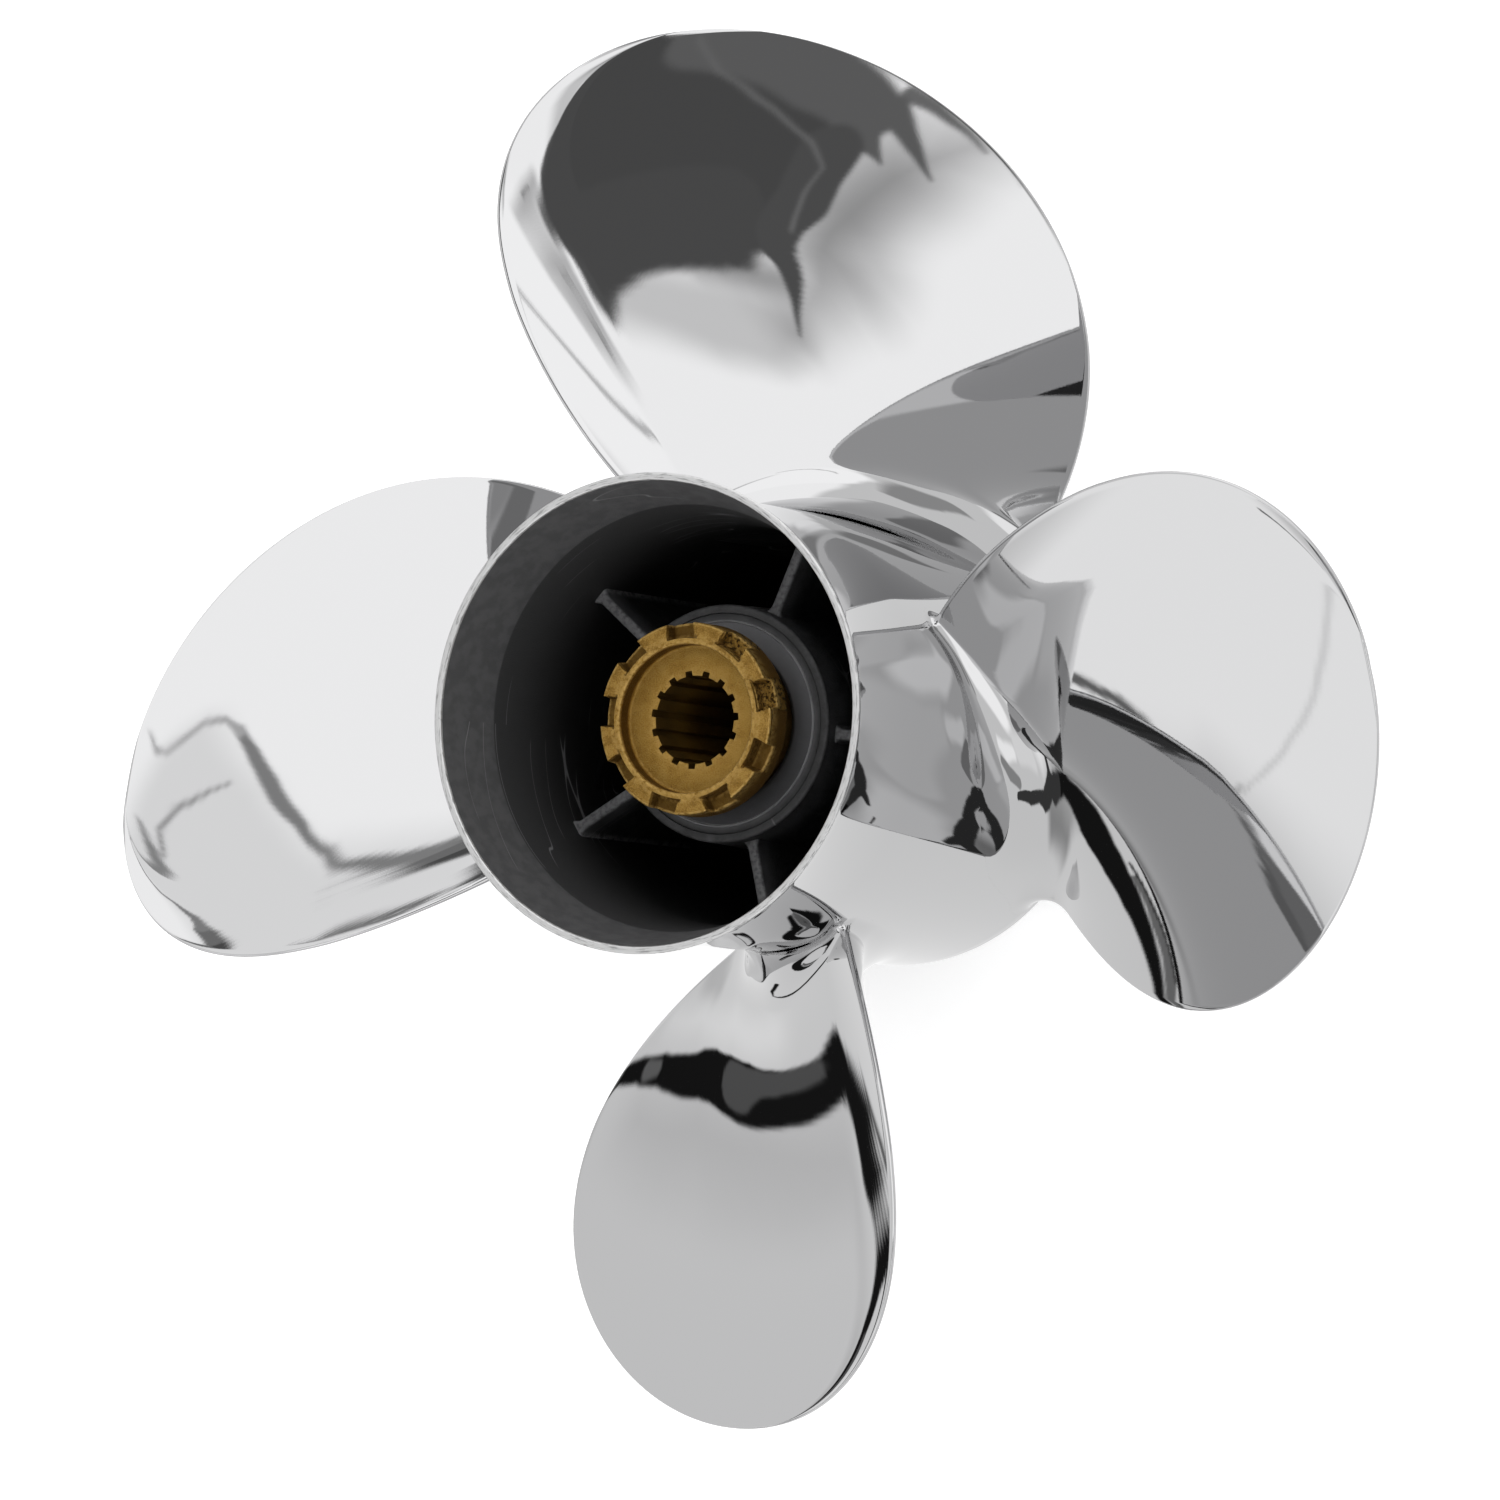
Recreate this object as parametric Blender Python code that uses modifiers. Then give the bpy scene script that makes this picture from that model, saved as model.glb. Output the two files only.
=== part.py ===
"""Four-bladed stainless outboard propeller, standing on the forward end of its barrel.

Run with: blender --background --python part.py

Lengths are metres. +Z points aft, the way the exhaust leaves the barrel. The origin is the
centre of the forward face. Seen from aft the first blade points along +Y, the blades turn
clockwise to drive ahead, and each blade's leading edge is the lower, forward one.
"""

import math

import bmesh
import bpy
from mathutils import Matrix, Vector

MM = 0.001
INCH = 25.4 * MM
GAP = 0.3 * MM
MERGE = 0.00001

# Driving dimensions, from a 1 inch splined shaft in the photo
DIAMETER = 14.5 * INCH
TIP_RADIUS = DIAMETER / 2
PITCH = 17.3 * INCH
BLADE_COUNT = 4
RIB_COUNT = 5
LENGTH = 148 * MM

# Barrel, as radii and as depths forward of the aft rim
RIM_RADIUS = 62.4 * MM
WAIST_RADIUS = 58.4 * MM
FRONT_RADIUS = 58.9 * MM
FLARE_DEPTH = 42 * MM
MOUTH_RADIUS = 60.2 * MM
STEP_RADIUS = 55.6 * MM
STEP_DEPTH = 20 * MM
BORE_RADIUS = 52.6 * MM
BORE_AFT_DEPTH = 46 * MM
BORE_FRONT_Z = 30 * MM
FRONT_BORE_RADIUS = 55.2 * MM
LIP_ROUND = 0.6 * MM
BARREL_STEPS = 96
FLARE_POINTS = 7

# Inner hub, rubber bushing and ribs
HUB_FACE_DEPTH = 43 * MM
HUB_AFT_RADIUS = 31.3 * MM
HUB_FRONT_RADIUS = 33.5 * MM
HUB_FRONT_Z = 18 * MM
RUBBER_RADIUS = 28.8 * MM
RUBBER_FRONT_Z = 24 * MM
RIDGE_RADIUS = 27.2 * MM
RIDGE_HEIGHT = 0.8 * MM
RIDGE_WIDTH = 0.9 * MM
HUB_STEPS = 72
RIB_THICKNESS = 3 * MM
RIB_AFT_DEPTH = 47 * MM
RIB_FRONT_Z = 40 * MM
RIB_FIRST_ANGLE = math.radians(66)

# Brass sleeve with its castellated flange
FLANGE_AFT_DEPTH = 22.3 * MM
FLANGE_THICKNESS = 9.5 * MM
FLANGE_RADIUS = 25.2 * MM
SLEEVE_RADIUS = 19.6 * MM
SLEEVE_FRONT_Z = 16 * MM
RECESS_RADIUS = 19.4 * MM
RECESS_DEPTH = 5.3 * MM
TAB_COUNT = 9
TAB_FIRST_ANGLE = math.radians(74)
NOTCH_INNER_RADIUS = 21.2 * MM
NOTCH_WIDTH = 7.6 * MM
NOTCH_DEPTH = 4 * MM
SPLINE_COUNT = 15
SPLINE_MAJOR_RADIUS = 12.7 * MM
SPLINE_MINOR_RADIUS = 11.4 * MM
SPLINE_FIRST_ANGLE = math.radians(98.4)
GROOVE_SHARE = 0.42
GROOVE_TAPER = 0.8
SLEEVE_STEPS = 90

# Blade laws, as shares of the tip radius
BLADE_FIRST_ANGLE = math.radians(90.9)
CHORD_WIDEST = 0.864
CHORD_WIDEST_AT = 0.696
TIP_ROUNDNESS = 2.41
ROOT_AT = 0.328
ROOT_NARROWING = 0.327
ROOT_NARROWING_POWER = 1.64
SKEW_ROOT = -0.115
SKEW_GAIN = 0.149
SKEW_POWER = 2.82
RAKE_DEPTH = 0.509
RAKE_SLOPE = 0.538
RAKE_CURVE = -0.262
PITCH_GAIN = 0.151

# Blade thickness and lofting
BLADE_START_RADIUS = 50 * MM
BLADE_END_AT = 0.998
ROOT_THICKNESS = 12.5 * MM
TIP_THICKNESS = 3.2 * MM
EDGE_THICKNESS = 1.6 * MM
THINNING_POWER = 1.4
TIP_EASING = 0.35
CUP_HEIGHT = 3.4 * MM
CUP_START = 0.86
CUP_POWER = 1.6
SWELL_HEIGHT = 7.2 * MM
SWELL_REACH = 0.365
SWELL_LEAN = 1.2
SWELL_FADING = 1.8
SWELL_LIMIT = 1.2
SPAN_STEPS = 19
SPAN_CROWDING = 1.7
CHORD_STEPS = 14

STEEL = ((0.63, 0.63, 0.64, 1.0), 0.12, 1.0)
BLACK_PAINT = ((0.03, 0.03, 0.032, 1.0), 0.6, 0.0)
RUBBER = ((0.035, 0.035, 0.037, 1.0), 0.75, 0.0)
BRASS = ((0.42, 0.28, 0.09, 1.0), 0.5, 1.0)


def clear_scene():
    """Remove every object, so that a second run starts clean."""
    for thing in list(bpy.data.objects):
        bpy.data.objects.remove(thing, do_unlink=True)


def new_collection(name):
    """Make a collection in the scene and return it."""
    group = bpy.data.collections.new(name)
    bpy.context.scene.collection.children.link(group)
    return group


def new_material(name, look):
    """Make a Principled material from a colour, roughness and metallic value."""
    color, roughness, metallic = look
    material = bpy.data.materials.new(name)
    material.use_nodes = True
    shader = material.node_tree.nodes["Principled BSDF"]
    shader.inputs["Base Color"].default_value = color
    shader.inputs["Roughness"].default_value = roughness
    shader.inputs["Metallic"].default_value = metallic
    return material


def add_object(name, mesh, group):
    """Put a mesh in the scene as a named object."""
    thing = bpy.data.objects.new(name, mesh)
    group.objects.link(thing)
    return thing


def turned(name, profile, steps, group):
    """Turn a profile of (radius, z) points about Z, closed unless it starts on the axis."""
    mesh = bpy.data.meshes.new(name)
    count = len(profile)
    links = count - 1 if profile[0][0] == 0 else count
    edges = [(index, (index + 1) % count) for index in range(links)]
    mesh.from_pydata([(radius, 0, z) for radius, z in profile], edges, [])
    thing = add_object(name, mesh, group)
    screw = thing.modifiers.new("turn", "SCREW")
    screw.axis = "Z"
    screw.angle = math.tau
    screw.steps = steps
    screw.render_steps = steps
    screw.use_merge_vertices = True
    screw.merge_threshold = MERGE
    return thing


def cut(thing, cutter, name):
    """Subtract a cutter from an object."""
    boolean = thing.modifiers.new(name, "BOOLEAN")
    boolean.operation = "DIFFERENCE"
    boolean.solver = "EXACT"
    boolean.object = cutter


def hide_cutter(cutter):
    """Show a cutter as wires only, and never in a render."""
    cutter.hide_render = True
    cutter.display_type = "WIRE"


def barrel_radius(z):
    """Outer radius of the barrel at a height: a slow taper, then the flared rim."""
    depth = LENGTH - z
    waist_share = min(z / (LENGTH - FLARE_DEPTH), 1.0)
    body = FRONT_RADIUS + (WAIST_RADIUS - FRONT_RADIUS) * waist_share
    flare_share = max(1 - depth / FLARE_DEPTH, 0.0)
    return body + (RIM_RADIUS - WAIST_RADIUS) * flare_share**2


def flare_heights():
    """Heights of the flare's rings, from the rim down to the waist."""
    top = LENGTH - LIP_ROUND
    bottom = LENGTH - FLARE_DEPTH
    return [top + (bottom - top) * index / FLARE_POINTS for index in range(FLARE_POINTS + 1)]


def make_barrel(group, material):
    """Make the exhaust barrel, a tube with a flared aft rim."""
    outer = [(barrel_radius(z), z) for z in flare_heights()]
    profile = [
        (RIM_RADIUS - LIP_ROUND, LENGTH),
        *outer,
        (FRONT_RADIUS, LIP_ROUND),
        (FRONT_RADIUS - LIP_ROUND, 0),
        (FRONT_BORE_RADIUS, 0),
        (BORE_RADIUS, BORE_FRONT_Z),
        (BORE_RADIUS, LENGTH - BORE_AFT_DEPTH),
        (STEP_RADIUS, LENGTH - STEP_DEPTH),
        (MOUTH_RADIUS, LENGTH - LIP_ROUND / 2),
        (MOUTH_RADIUS + LIP_ROUND / 2, LENGTH),
    ]
    barrel = turned("barrel", profile, BARREL_STEPS, group)
    barrel.data.materials.append(material)


def make_barrel_clearance(cutters):
    """Make the solid that trims each blade a small gap away from the barrel."""
    outer = [(barrel_radius(z) + GAP, z) for z in flare_heights()]
    profile = [
        (0, LENGTH + FLARE_DEPTH),
        (outer[0][0], LENGTH + FLARE_DEPTH),
        *outer,
        (FRONT_RADIUS + GAP, 0),
        (FRONT_RADIUS + GAP, -FLARE_DEPTH),
        (0, -FLARE_DEPTH),
    ]
    cutter = turned("barrel_clearance", profile, BARREL_STEPS, cutters)
    hide_cutter(cutter)
    return cutter


def chord_length(share):
    """Length of the section along its helix, at a share of the tip radius."""
    outboard = max((share - CHORD_WIDEST_AT) / (1 - CHORD_WIDEST_AT), 0.0)
    inboard = max((CHORD_WIDEST_AT - share) / (CHORD_WIDEST_AT - ROOT_AT), 0.0)
    rounding = math.sqrt(max(1 - outboard**TIP_ROUNDNESS, 0.0))
    narrowing = 1 - ROOT_NARROWING * inboard**ROOT_NARROWING_POWER
    return CHORD_WIDEST * TIP_RADIUS * rounding * narrowing


def skew_angle(share):
    """Angle of the section's middle, which sweeps back towards the tip."""
    span = max((share - ROOT_AT) / (1 - ROOT_AT), 0.0)
    return SKEW_ROOT + SKEW_GAIN * span**SKEW_POWER


def rake_height(share):
    """Height of the blade's reference line, which leans aft towards the tip."""
    span = share - ROOT_AT
    return LENGTH + TIP_RADIUS * (-RAKE_DEPTH + RAKE_SLOPE * span + RAKE_CURVE * span**2)


def helix_rise(share):
    """Rise of the blade face for each radian, growing a little with the radius."""
    return (PITCH + PITCH_GAIN * TIP_RADIUS * (share - CHORD_WIDEST_AT)) / math.tau


def fullness(share):
    """Chord as a share of the widest one, which eases thickness and cup out at the tip."""
    return chord_length(share) / (CHORD_WIDEST * TIP_RADIUS)


def thickness(share, along):
    """Blade thickness at a share of the radius and of the chord."""
    span = (1 - share) / (1 - ROOT_AT)
    middle = TIP_THICKNESS + (ROOT_THICKNESS - TIP_THICKNESS) * span**THINNING_POWER
    easing = min(fullness(share) + TIP_EASING, 1.0)
    return EDGE_THICKNESS + (middle * easing - EDGE_THICKNESS) * 4 * along * (1 - along)


def cup(share, along):
    """Rise of the face towards the trailing edge, where the blade is cupped."""
    run = max((along - CUP_START) / (1 - CUP_START), 0.0)
    return CUP_HEIGHT * min(fullness(share), 1.0) * run**CUP_POWER


def swell(share, along):
    """Extra fullness of the face near the root, nothing at the blade's edges."""
    fading = min(max(1 - (share - ROOT_AT) / SWELL_REACH, 0.0), SWELL_LIMIT)
    leaning = along**SWELL_LEAN
    return SWELL_HEIGHT * fading**SWELL_FADING * 4 * leaning * (1 - leaning)


def blade_point(share, along, back):
    """Point on a blade's face, or on its back, in the blade's own frame."""
    radius = share * TIP_RADIUS
    rise = helix_rise(share)
    slope = math.atan2(rise, radius)
    chord = chord_length(share)
    angle = skew_angle(share) + chord * math.cos(slope) * (along - 0.5) / radius
    height = rake_height(share) + rise * skew_angle(share) + chord * math.sin(slope) * (along - 0.5)
    offset = cup(share, along) + (-thickness(share, along) if back else swell(share, along))
    angle -= offset * math.sin(slope) / radius
    height += offset * math.cos(slope)
    return Vector((radius * math.cos(angle), radius * math.sin(angle), height))


def span_shares():
    """Shares of the tip radius for the blade's sections, crowded towards the tip."""
    start = BLADE_START_RADIUS / TIP_RADIUS
    steps = [1 - (1 - index / SPAN_STEPS) ** SPAN_CROWDING for index in range(SPAN_STEPS + 1)]
    return [start + (BLADE_END_AT - start) * step for step in steps]


def chord_shares():
    """Shares of the chord from the leading to the trailing edge, crowded at both edges."""
    return [(1 - math.cos(math.pi * index / CHORD_STEPS)) / 2 for index in range(CHORD_STEPS + 1)]


def blade_mesh():
    """Loft one blade through its sections, with closed edges, root and tip."""
    work = bmesh.new()
    sides = []
    for back in (False, True):
        rows = []
        for share in span_shares():
            rows.append([work.verts.new(blade_point(share, along, back)) for along in chord_shares()])
        sides.append(rows)
    face, rear = sides
    for row in range(SPAN_STEPS):
        for column in range(CHORD_STEPS):
            for rows in sides:
                work.faces.new((rows[row][column], rows[row + 1][column],
                                rows[row + 1][column + 1], rows[row][column + 1]))
        for column in (0, CHORD_STEPS):
            work.faces.new((face[row][column], face[row + 1][column],
                            rear[row + 1][column], rear[row][column]))
    for column in range(CHORD_STEPS):
        for row in (0, SPAN_STEPS):
            work.faces.new((face[row][column], face[row][column + 1],
                            rear[row][column + 1], rear[row][column]))
    bmesh.ops.recalc_face_normals(work, faces=work.faces)
    mesh = bpy.data.meshes.new("blade")
    work.to_mesh(mesh)
    work.free()
    return mesh


def make_blades(group, cutters, material):
    """Make the blades, each turned to its place and trimmed at the barrel."""
    clearance = make_barrel_clearance(cutters)
    for number in range(BLADE_COUNT):
        blade = add_object(f"blade_{number + 1}", blade_mesh(), group)
        blade.rotation_euler.z = BLADE_FIRST_ANGLE - math.tau * number / BLADE_COUNT
        blade.data.materials.append(material)
        cut(blade, clearance, "trim_root")


def make_inner_hub(group, material):
    """Make the tube that holds the rubber, wider towards its forward end."""
    top = LENGTH - HUB_FACE_DEPTH
    bore = RUBBER_RADIUS + GAP
    profile = [
        (HUB_AFT_RADIUS - LIP_ROUND, top),
        (HUB_AFT_RADIUS, top - LIP_ROUND),
        (HUB_FRONT_RADIUS, HUB_FRONT_Z + LIP_ROUND),
        (HUB_FRONT_RADIUS - LIP_ROUND, HUB_FRONT_Z),
        (bore, HUB_FRONT_Z),
        (bore, top),
    ]
    hub = turned("inner_hub", profile, HUB_STEPS, group)
    hub.data.materials.append(material)


def hub_radius(z):
    """Outer radius of the inner hub at a height."""
    top = LENGTH - HUB_FACE_DEPTH
    share = (z - HUB_FRONT_Z) / (top - HUB_FRONT_Z)
    return HUB_FRONT_RADIUS + (HUB_AFT_RADIUS - HUB_FRONT_RADIUS) * share


def rib_mesh():
    """Make one rib along +X, its inner edge following the inner hub's taper."""
    work = bmesh.new()
    bmesh.ops.create_cube(work, size=1.0)
    bottom, top = RIB_FRONT_Z, LENGTH - RIB_AFT_DEPTH
    outer = math.sqrt((BORE_RADIUS * math.cos(math.pi / BARREL_STEPS) - GAP) ** 2 - RIB_THICKNESS**2 / 4)
    for vert in work.verts:
        z = top if vert.co.z > 0 else bottom
        x = outer if vert.co.x > 0 else hub_radius(z) + GAP
        vert.co = (x, vert.co.y * RIB_THICKNESS, z)
    mesh = bpy.data.meshes.new("rib")
    work.to_mesh(mesh)
    work.free()
    return mesh


def make_ribs(group, material):
    """Make the plates that carry the inner hub in the barrel."""
    for number in range(RIB_COUNT):
        rib = add_object(f"rib_{number + 1}", rib_mesh(), group)
        rib.rotation_euler.z = RIB_FIRST_ANGLE + math.tau * number / RIB_COUNT
        rib.data.materials.append(material)


def make_rubber(group, material):
    """Make the rubber bushing, with the raised ring on its aft face."""
    top = LENGTH - HUB_FACE_DEPTH
    bore = SLEEVE_RADIUS + GAP
    profile = [
        (RUBBER_RADIUS, top),
        (RUBBER_RADIUS, RUBBER_FRONT_Z),
        (bore, RUBBER_FRONT_Z),
        (bore, top),
        (RIDGE_RADIUS - RIDGE_WIDTH, top),
        (RIDGE_RADIUS - RIDGE_WIDTH / 2, top + RIDGE_HEIGHT),
        (RIDGE_RADIUS, top),
    ]
    rubber = turned("rubber_bushing", profile, HUB_STEPS, group)
    rubber.data.materials.append(material)


def sleeve_blank(group):
    """Turn the sleeve: a flange with a recessed aft face, and the body behind it."""
    top = LENGTH - FLANGE_AFT_DEPTH
    back = top - FLANGE_THICKNESS
    pilot = SPLINE_MINOR_RADIUS - GAP
    profile = [
        (FLANGE_RADIUS - LIP_ROUND, top),
        (FLANGE_RADIUS, top - LIP_ROUND),
        (FLANGE_RADIUS, back),
        (SLEEVE_RADIUS, back),
        (SLEEVE_RADIUS, SLEEVE_FRONT_Z),
        (pilot, SLEEVE_FRONT_Z),
        (pilot, top - RECESS_DEPTH),
        (RECESS_RADIUS, top - RECESS_DEPTH),
        (RECESS_RADIUS, top),
    ]
    return turned("spline_sleeve", profile, SLEEVE_STEPS, group)


def spline_outline():
    """Corners of the splined bore: fifteen grooves with tapered flanks."""
    step = math.tau / SPLINE_COUNT
    root = step * GROOVE_SHARE / 2
    crest = root * GROOVE_TAPER
    corners = []
    for number in range(SPLINE_COUNT):
        middle = SPLINE_FIRST_ANGLE + step * number
        for offset, radius in ((-root, SPLINE_MINOR_RADIUS), (-crest, SPLINE_MAJOR_RADIUS),
                               (crest, SPLINE_MAJOR_RADIUS), (root, SPLINE_MINOR_RADIUS)):
            angle = middle + offset
            corners.append((radius * math.cos(angle), radius * math.sin(angle), 0))
    return corners


def make_spline_cutter(cutters):
    """Extrude the spline's outline as a filled 2D curve, then make it a mesh."""
    curve = bpy.data.curves.new("spline_outline", "CURVE")
    curve.dimensions = "2D"
    curve.fill_mode = "BOTH"
    curve.extrude = LENGTH
    line = curve.splines.new("POLY")
    corners = spline_outline()
    line.points.add(len(corners) - 1)
    for point, corner in zip(line.points, corners):
        point.co = (*corner, 1)
    line.use_cyclic_u = True
    drawn = add_object("spline_outline", curve, cutters)
    mesh = bpy.data.meshes.new_from_object(drawn)
    bpy.data.objects.remove(drawn, do_unlink=True)
    work = bmesh.new()
    work.from_mesh(mesh)
    bmesh.ops.remove_doubles(work, verts=work.verts, dist=MERGE)
    bmesh.ops.recalc_face_normals(work, faces=work.faces)
    work.to_mesh(mesh)
    work.free()
    cutter = add_object("spline_cutter", mesh, cutters)
    hide_cutter(cutter)
    return cutter


def make_notch_cutter(cutters):
    """Make the blocks that cut the flange into tabs, as one cutter."""
    work = bmesh.new()
    outer = FLANGE_RADIUS + NOTCH_DEPTH
    size = (outer - NOTCH_INNER_RADIUS, NOTCH_WIDTH, 2 * NOTCH_DEPTH)
    place = Matrix.Translation(((outer + NOTCH_INNER_RADIUS) / 2, 0, LENGTH - FLANGE_AFT_DEPTH))
    for number in range(TAB_COUNT):
        angle = TAB_FIRST_ANGLE + math.tau * (number + 0.5) / TAB_COUNT
        turn = Matrix.Rotation(angle, 4, "Z")
        bmesh.ops.create_cube(work, size=1.0, matrix=turn @ place @ Matrix.Diagonal((*size, 1)))
    mesh = bpy.data.meshes.new("notch_cutter")
    work.to_mesh(mesh)
    work.free()
    cutter = add_object("notch_cutter", mesh, cutters)
    hide_cutter(cutter)
    return cutter


def make_sleeve(group, cutters, material):
    """Make the splined brass sleeve with its nine tabs."""
    sleeve = sleeve_blank(group)
    sleeve.data.materials.append(material)
    cut(sleeve, make_spline_cutter(cutters), "spline")
    cut(sleeve, make_notch_cutter(cutters), "tabs")


def main():
    """Build the whole propeller."""
    clear_scene()
    parts = new_collection("propeller")
    cutters = new_collection("cutters")
    steel = new_material("polished_stainless", STEEL)
    paint = new_material("black_paint", BLACK_PAINT)
    rubber = new_material("rubber", RUBBER)
    brass = new_material("brass", BRASS)
    make_barrel(parts, steel)
    make_blades(parts, cutters, steel)
    make_inner_hub(parts, paint)
    make_ribs(parts, paint)
    make_rubber(parts, rubber)
    make_sleeve(parts, cutters, brass)


if __name__ == "__main__":
    main()
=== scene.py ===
"""The looks of a polished stainless outboard propeller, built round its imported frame.

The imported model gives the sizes. Each sub-assembly is a class that builds its own meshes and
dresses them: the polished casting with its four blades, the painted core with its ribs, the
rubber bushing and the brass spline sleeve. +Z points aft, towards the viewer of the photo.
"""

import logging
import math
from dataclasses import dataclass
from enum import Enum
from functools import reduce
from typing import ClassVar

import bpy
import numpy as np
from mathutils import Matrix, Vector


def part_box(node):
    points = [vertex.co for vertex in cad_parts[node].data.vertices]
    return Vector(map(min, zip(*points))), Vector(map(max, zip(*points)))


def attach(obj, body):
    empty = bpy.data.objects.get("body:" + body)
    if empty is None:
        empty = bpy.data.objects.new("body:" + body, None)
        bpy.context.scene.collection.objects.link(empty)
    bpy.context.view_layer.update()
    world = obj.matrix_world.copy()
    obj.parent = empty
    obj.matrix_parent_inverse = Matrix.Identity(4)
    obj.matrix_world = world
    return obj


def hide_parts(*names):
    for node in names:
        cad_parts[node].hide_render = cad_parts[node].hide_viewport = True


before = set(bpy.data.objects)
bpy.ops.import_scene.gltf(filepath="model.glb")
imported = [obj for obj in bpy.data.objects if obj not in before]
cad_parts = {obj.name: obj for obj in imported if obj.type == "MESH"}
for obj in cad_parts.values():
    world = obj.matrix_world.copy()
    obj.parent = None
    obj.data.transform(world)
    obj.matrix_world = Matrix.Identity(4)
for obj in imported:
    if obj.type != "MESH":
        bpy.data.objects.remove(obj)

Array = np.ndarray
Mesh = bpy.types.Mesh
Material = bpy.types.Material
Socket = bpy.types.NodeSocket
Pair = tuple[float, float]
Colour = tuple[float, float, float]
Shades = tuple[Colour, Colour]

MM = 0.001
INCH = 25.4 * MM
TIP_RADIUS = 7.25 * INCH
BODY = "root"
LOG = logging.getLogger("propeller")


class Slot(Enum):
    """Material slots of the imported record."""

    STEEL = "polished_stainless"
    PAINT = "black_paint"
    RUBBER = "rubber"
    BRASS = "brass"


class Effect(Enum):
    """Shader groups that more than one finish uses."""

    GRAIN = "cast_grain"
    # Scuffed edges and painted highlights, from the marks attribute.
    WEAR_AND_HIGHLIGHT = "edge_wear_and_highlight"
    SCRATCHES = "fine_scratches"


def smooth_step(value: Array) -> Array:
    """Ease from 0 to 1 as the value, held to that range, runs from 0 to 1."""
    held = np.clip(value, 0.0, 1.0)
    return held * held * (3 - 2 * held)


def polar(radius: Array, angle: Array, height: Array) -> Array:
    """Points of places about the shaft, with angles from +X, anticlockwise seen from aft."""
    radius, angle, height = np.broadcast_arrays(radius, angle, height)
    return np.stack([radius * np.cos(angle), radius * np.sin(angle), height], axis=-1)


def round_angles(columns: int) -> Array:
    """Angles of evenly spaced columns round the shaft."""
    return np.linspace(0, math.tau, columns, endpoint=False)


def arc(centre: Pair, radius: float, start: float, end: float, steps: int = 4) -> list[Pair]:
    """Places on a round corner, between two angles in degrees from straight outwards."""
    angles = np.radians(np.linspace(start, end, steps + 1))
    return [(centre[0] + radius * math.cos(a), centre[1] + radius * math.sin(a)) for a in angles]


def span(start: Pair, end: Pair, steps: int) -> list[Pair]:
    """Evenly spaced places between two places of a profile, without its ends."""
    shares = np.linspace(0, 1, steps + 1)[1:-1]
    return [(start[0] + (end[0] - start[0]) * s, start[1] + (end[1] - start[1]) * s) for s in shares]


def turned(legs: list[tuple[list[Pair], float]], angles: Array) -> tuple[Array, Array]:
    """Turn the legs of a profile about the shaft.

    Args:
        legs: Runs of radius and height pairs, each with a mark from 0 to 1 for scuffs and painted
            highlights.
        angles: Angles of the columns.

    Returns:
        Loops as rows, columns and three coordinates, and the mark of each of their points.
    """
    rows = [(radius, height, wear_and_highlight) for run, wear_and_highlight in legs for radius, height in run]
    loops = np.stack([polar(radius, angles, height) for radius, height, _ in rows])
    return loops, np.stack([np.full(len(angles), wear_and_highlight) for _, _, wear_and_highlight in rows])


def skinned(name: str, sharp: float, loops: Array, marks: Array | None = None, closed: bool = True,
            attribute: str = "wear_and_highlight_marks") -> Mesh:
    """Skin a stack of loops, smooth but for its sharp edges, with its faces turned outwards.

    Args:
        name: Name of the mesh.
        sharp: Edges that turn by more than this many degrees stay crisp.
        loops: Points as rows, columns and three coordinates; the last column meets the first.
        marks: A value for each point, kept as an attribute, or nothing for zeros.
        closed: Join the last row to the first; otherwise both ends are capped.
        attribute: Name of the attribute.

    Returns:
        The finished mesh.
    """
    rows, columns = loops.shape[:2]
    index = np.arange(rows * columns).reshape(rows, columns)
    below = index if closed else index[:-1]
    above = np.roll(index, -1, axis=0) if closed else index[1:]
    quads = np.stack([below, np.roll(below, -1, 1), np.roll(above, -1, 1), above], axis=-1).reshape(-1, 4)
    faces = quads.tolist()
    if not closed:
        faces += [index[0][::-1].tolist(), index[-1].tolist()]
    points = loops.reshape(-1, 3)
    one, two, three, four = (points[quads[:, corner]] for corner in range(4))
    volume = (one * (np.cross(two, three) + np.cross(three, four))).sum()
    if volume < 0:
        faces = [face[::-1] for face in faces]
    mesh = bpy.data.meshes.new(name)
    mesh.from_pydata(points.tolist(), [], faces)
    mesh.polygons.foreach_set("use_smooth", [True] * len(faces))
    mesh.set_sharp_from_angle(angle=math.radians(sharp))
    values = np.zeros(len(points)) if marks is None else marks.reshape(-1)
    mesh.attributes.new(attribute, "FLOAT", "POINT").data.foreach_set("value", values.astype(np.float32))
    return mesh


@dataclass(frozen=True)
class BarrelForm:
    """The barrel's sizes, which the blades and the painted core fit."""

    length: float
    rim_radius: float
    waist_radius: float = 58.4 * MM
    front_radius: float = 58.9 * MM
    flare_depth: float = 42 * MM
    mouth_radius: float = 60.2 * MM
    step_radius: float = 55.6 * MM
    step_depth: float = 20 * MM
    bore_radius: float = 52.6 * MM
    bore_aft_depth: float = 46 * MM
    bore_front: float = 30 * MM
    front_bore_radius: float = 55.2 * MM
    lip_round: float = 0.6 * MM

    def outside(self, height: Array) -> Array:
        """Outer radius: a slow taper, then the flare of the aft rim.

        Args:
            height: Heights above the forward face.

        Returns:
            The radius at each height.
        """
        share = np.clip(height / (self.length - self.flare_depth), 0.0, 1.0)
        body = self.front_radius + (self.waist_radius - self.front_radius) * share
        flare = np.maximum(1 - (self.length - height) / self.flare_depth, 0.0)
        return body + (self.rim_radius - self.waist_radius) * flare**2


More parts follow.
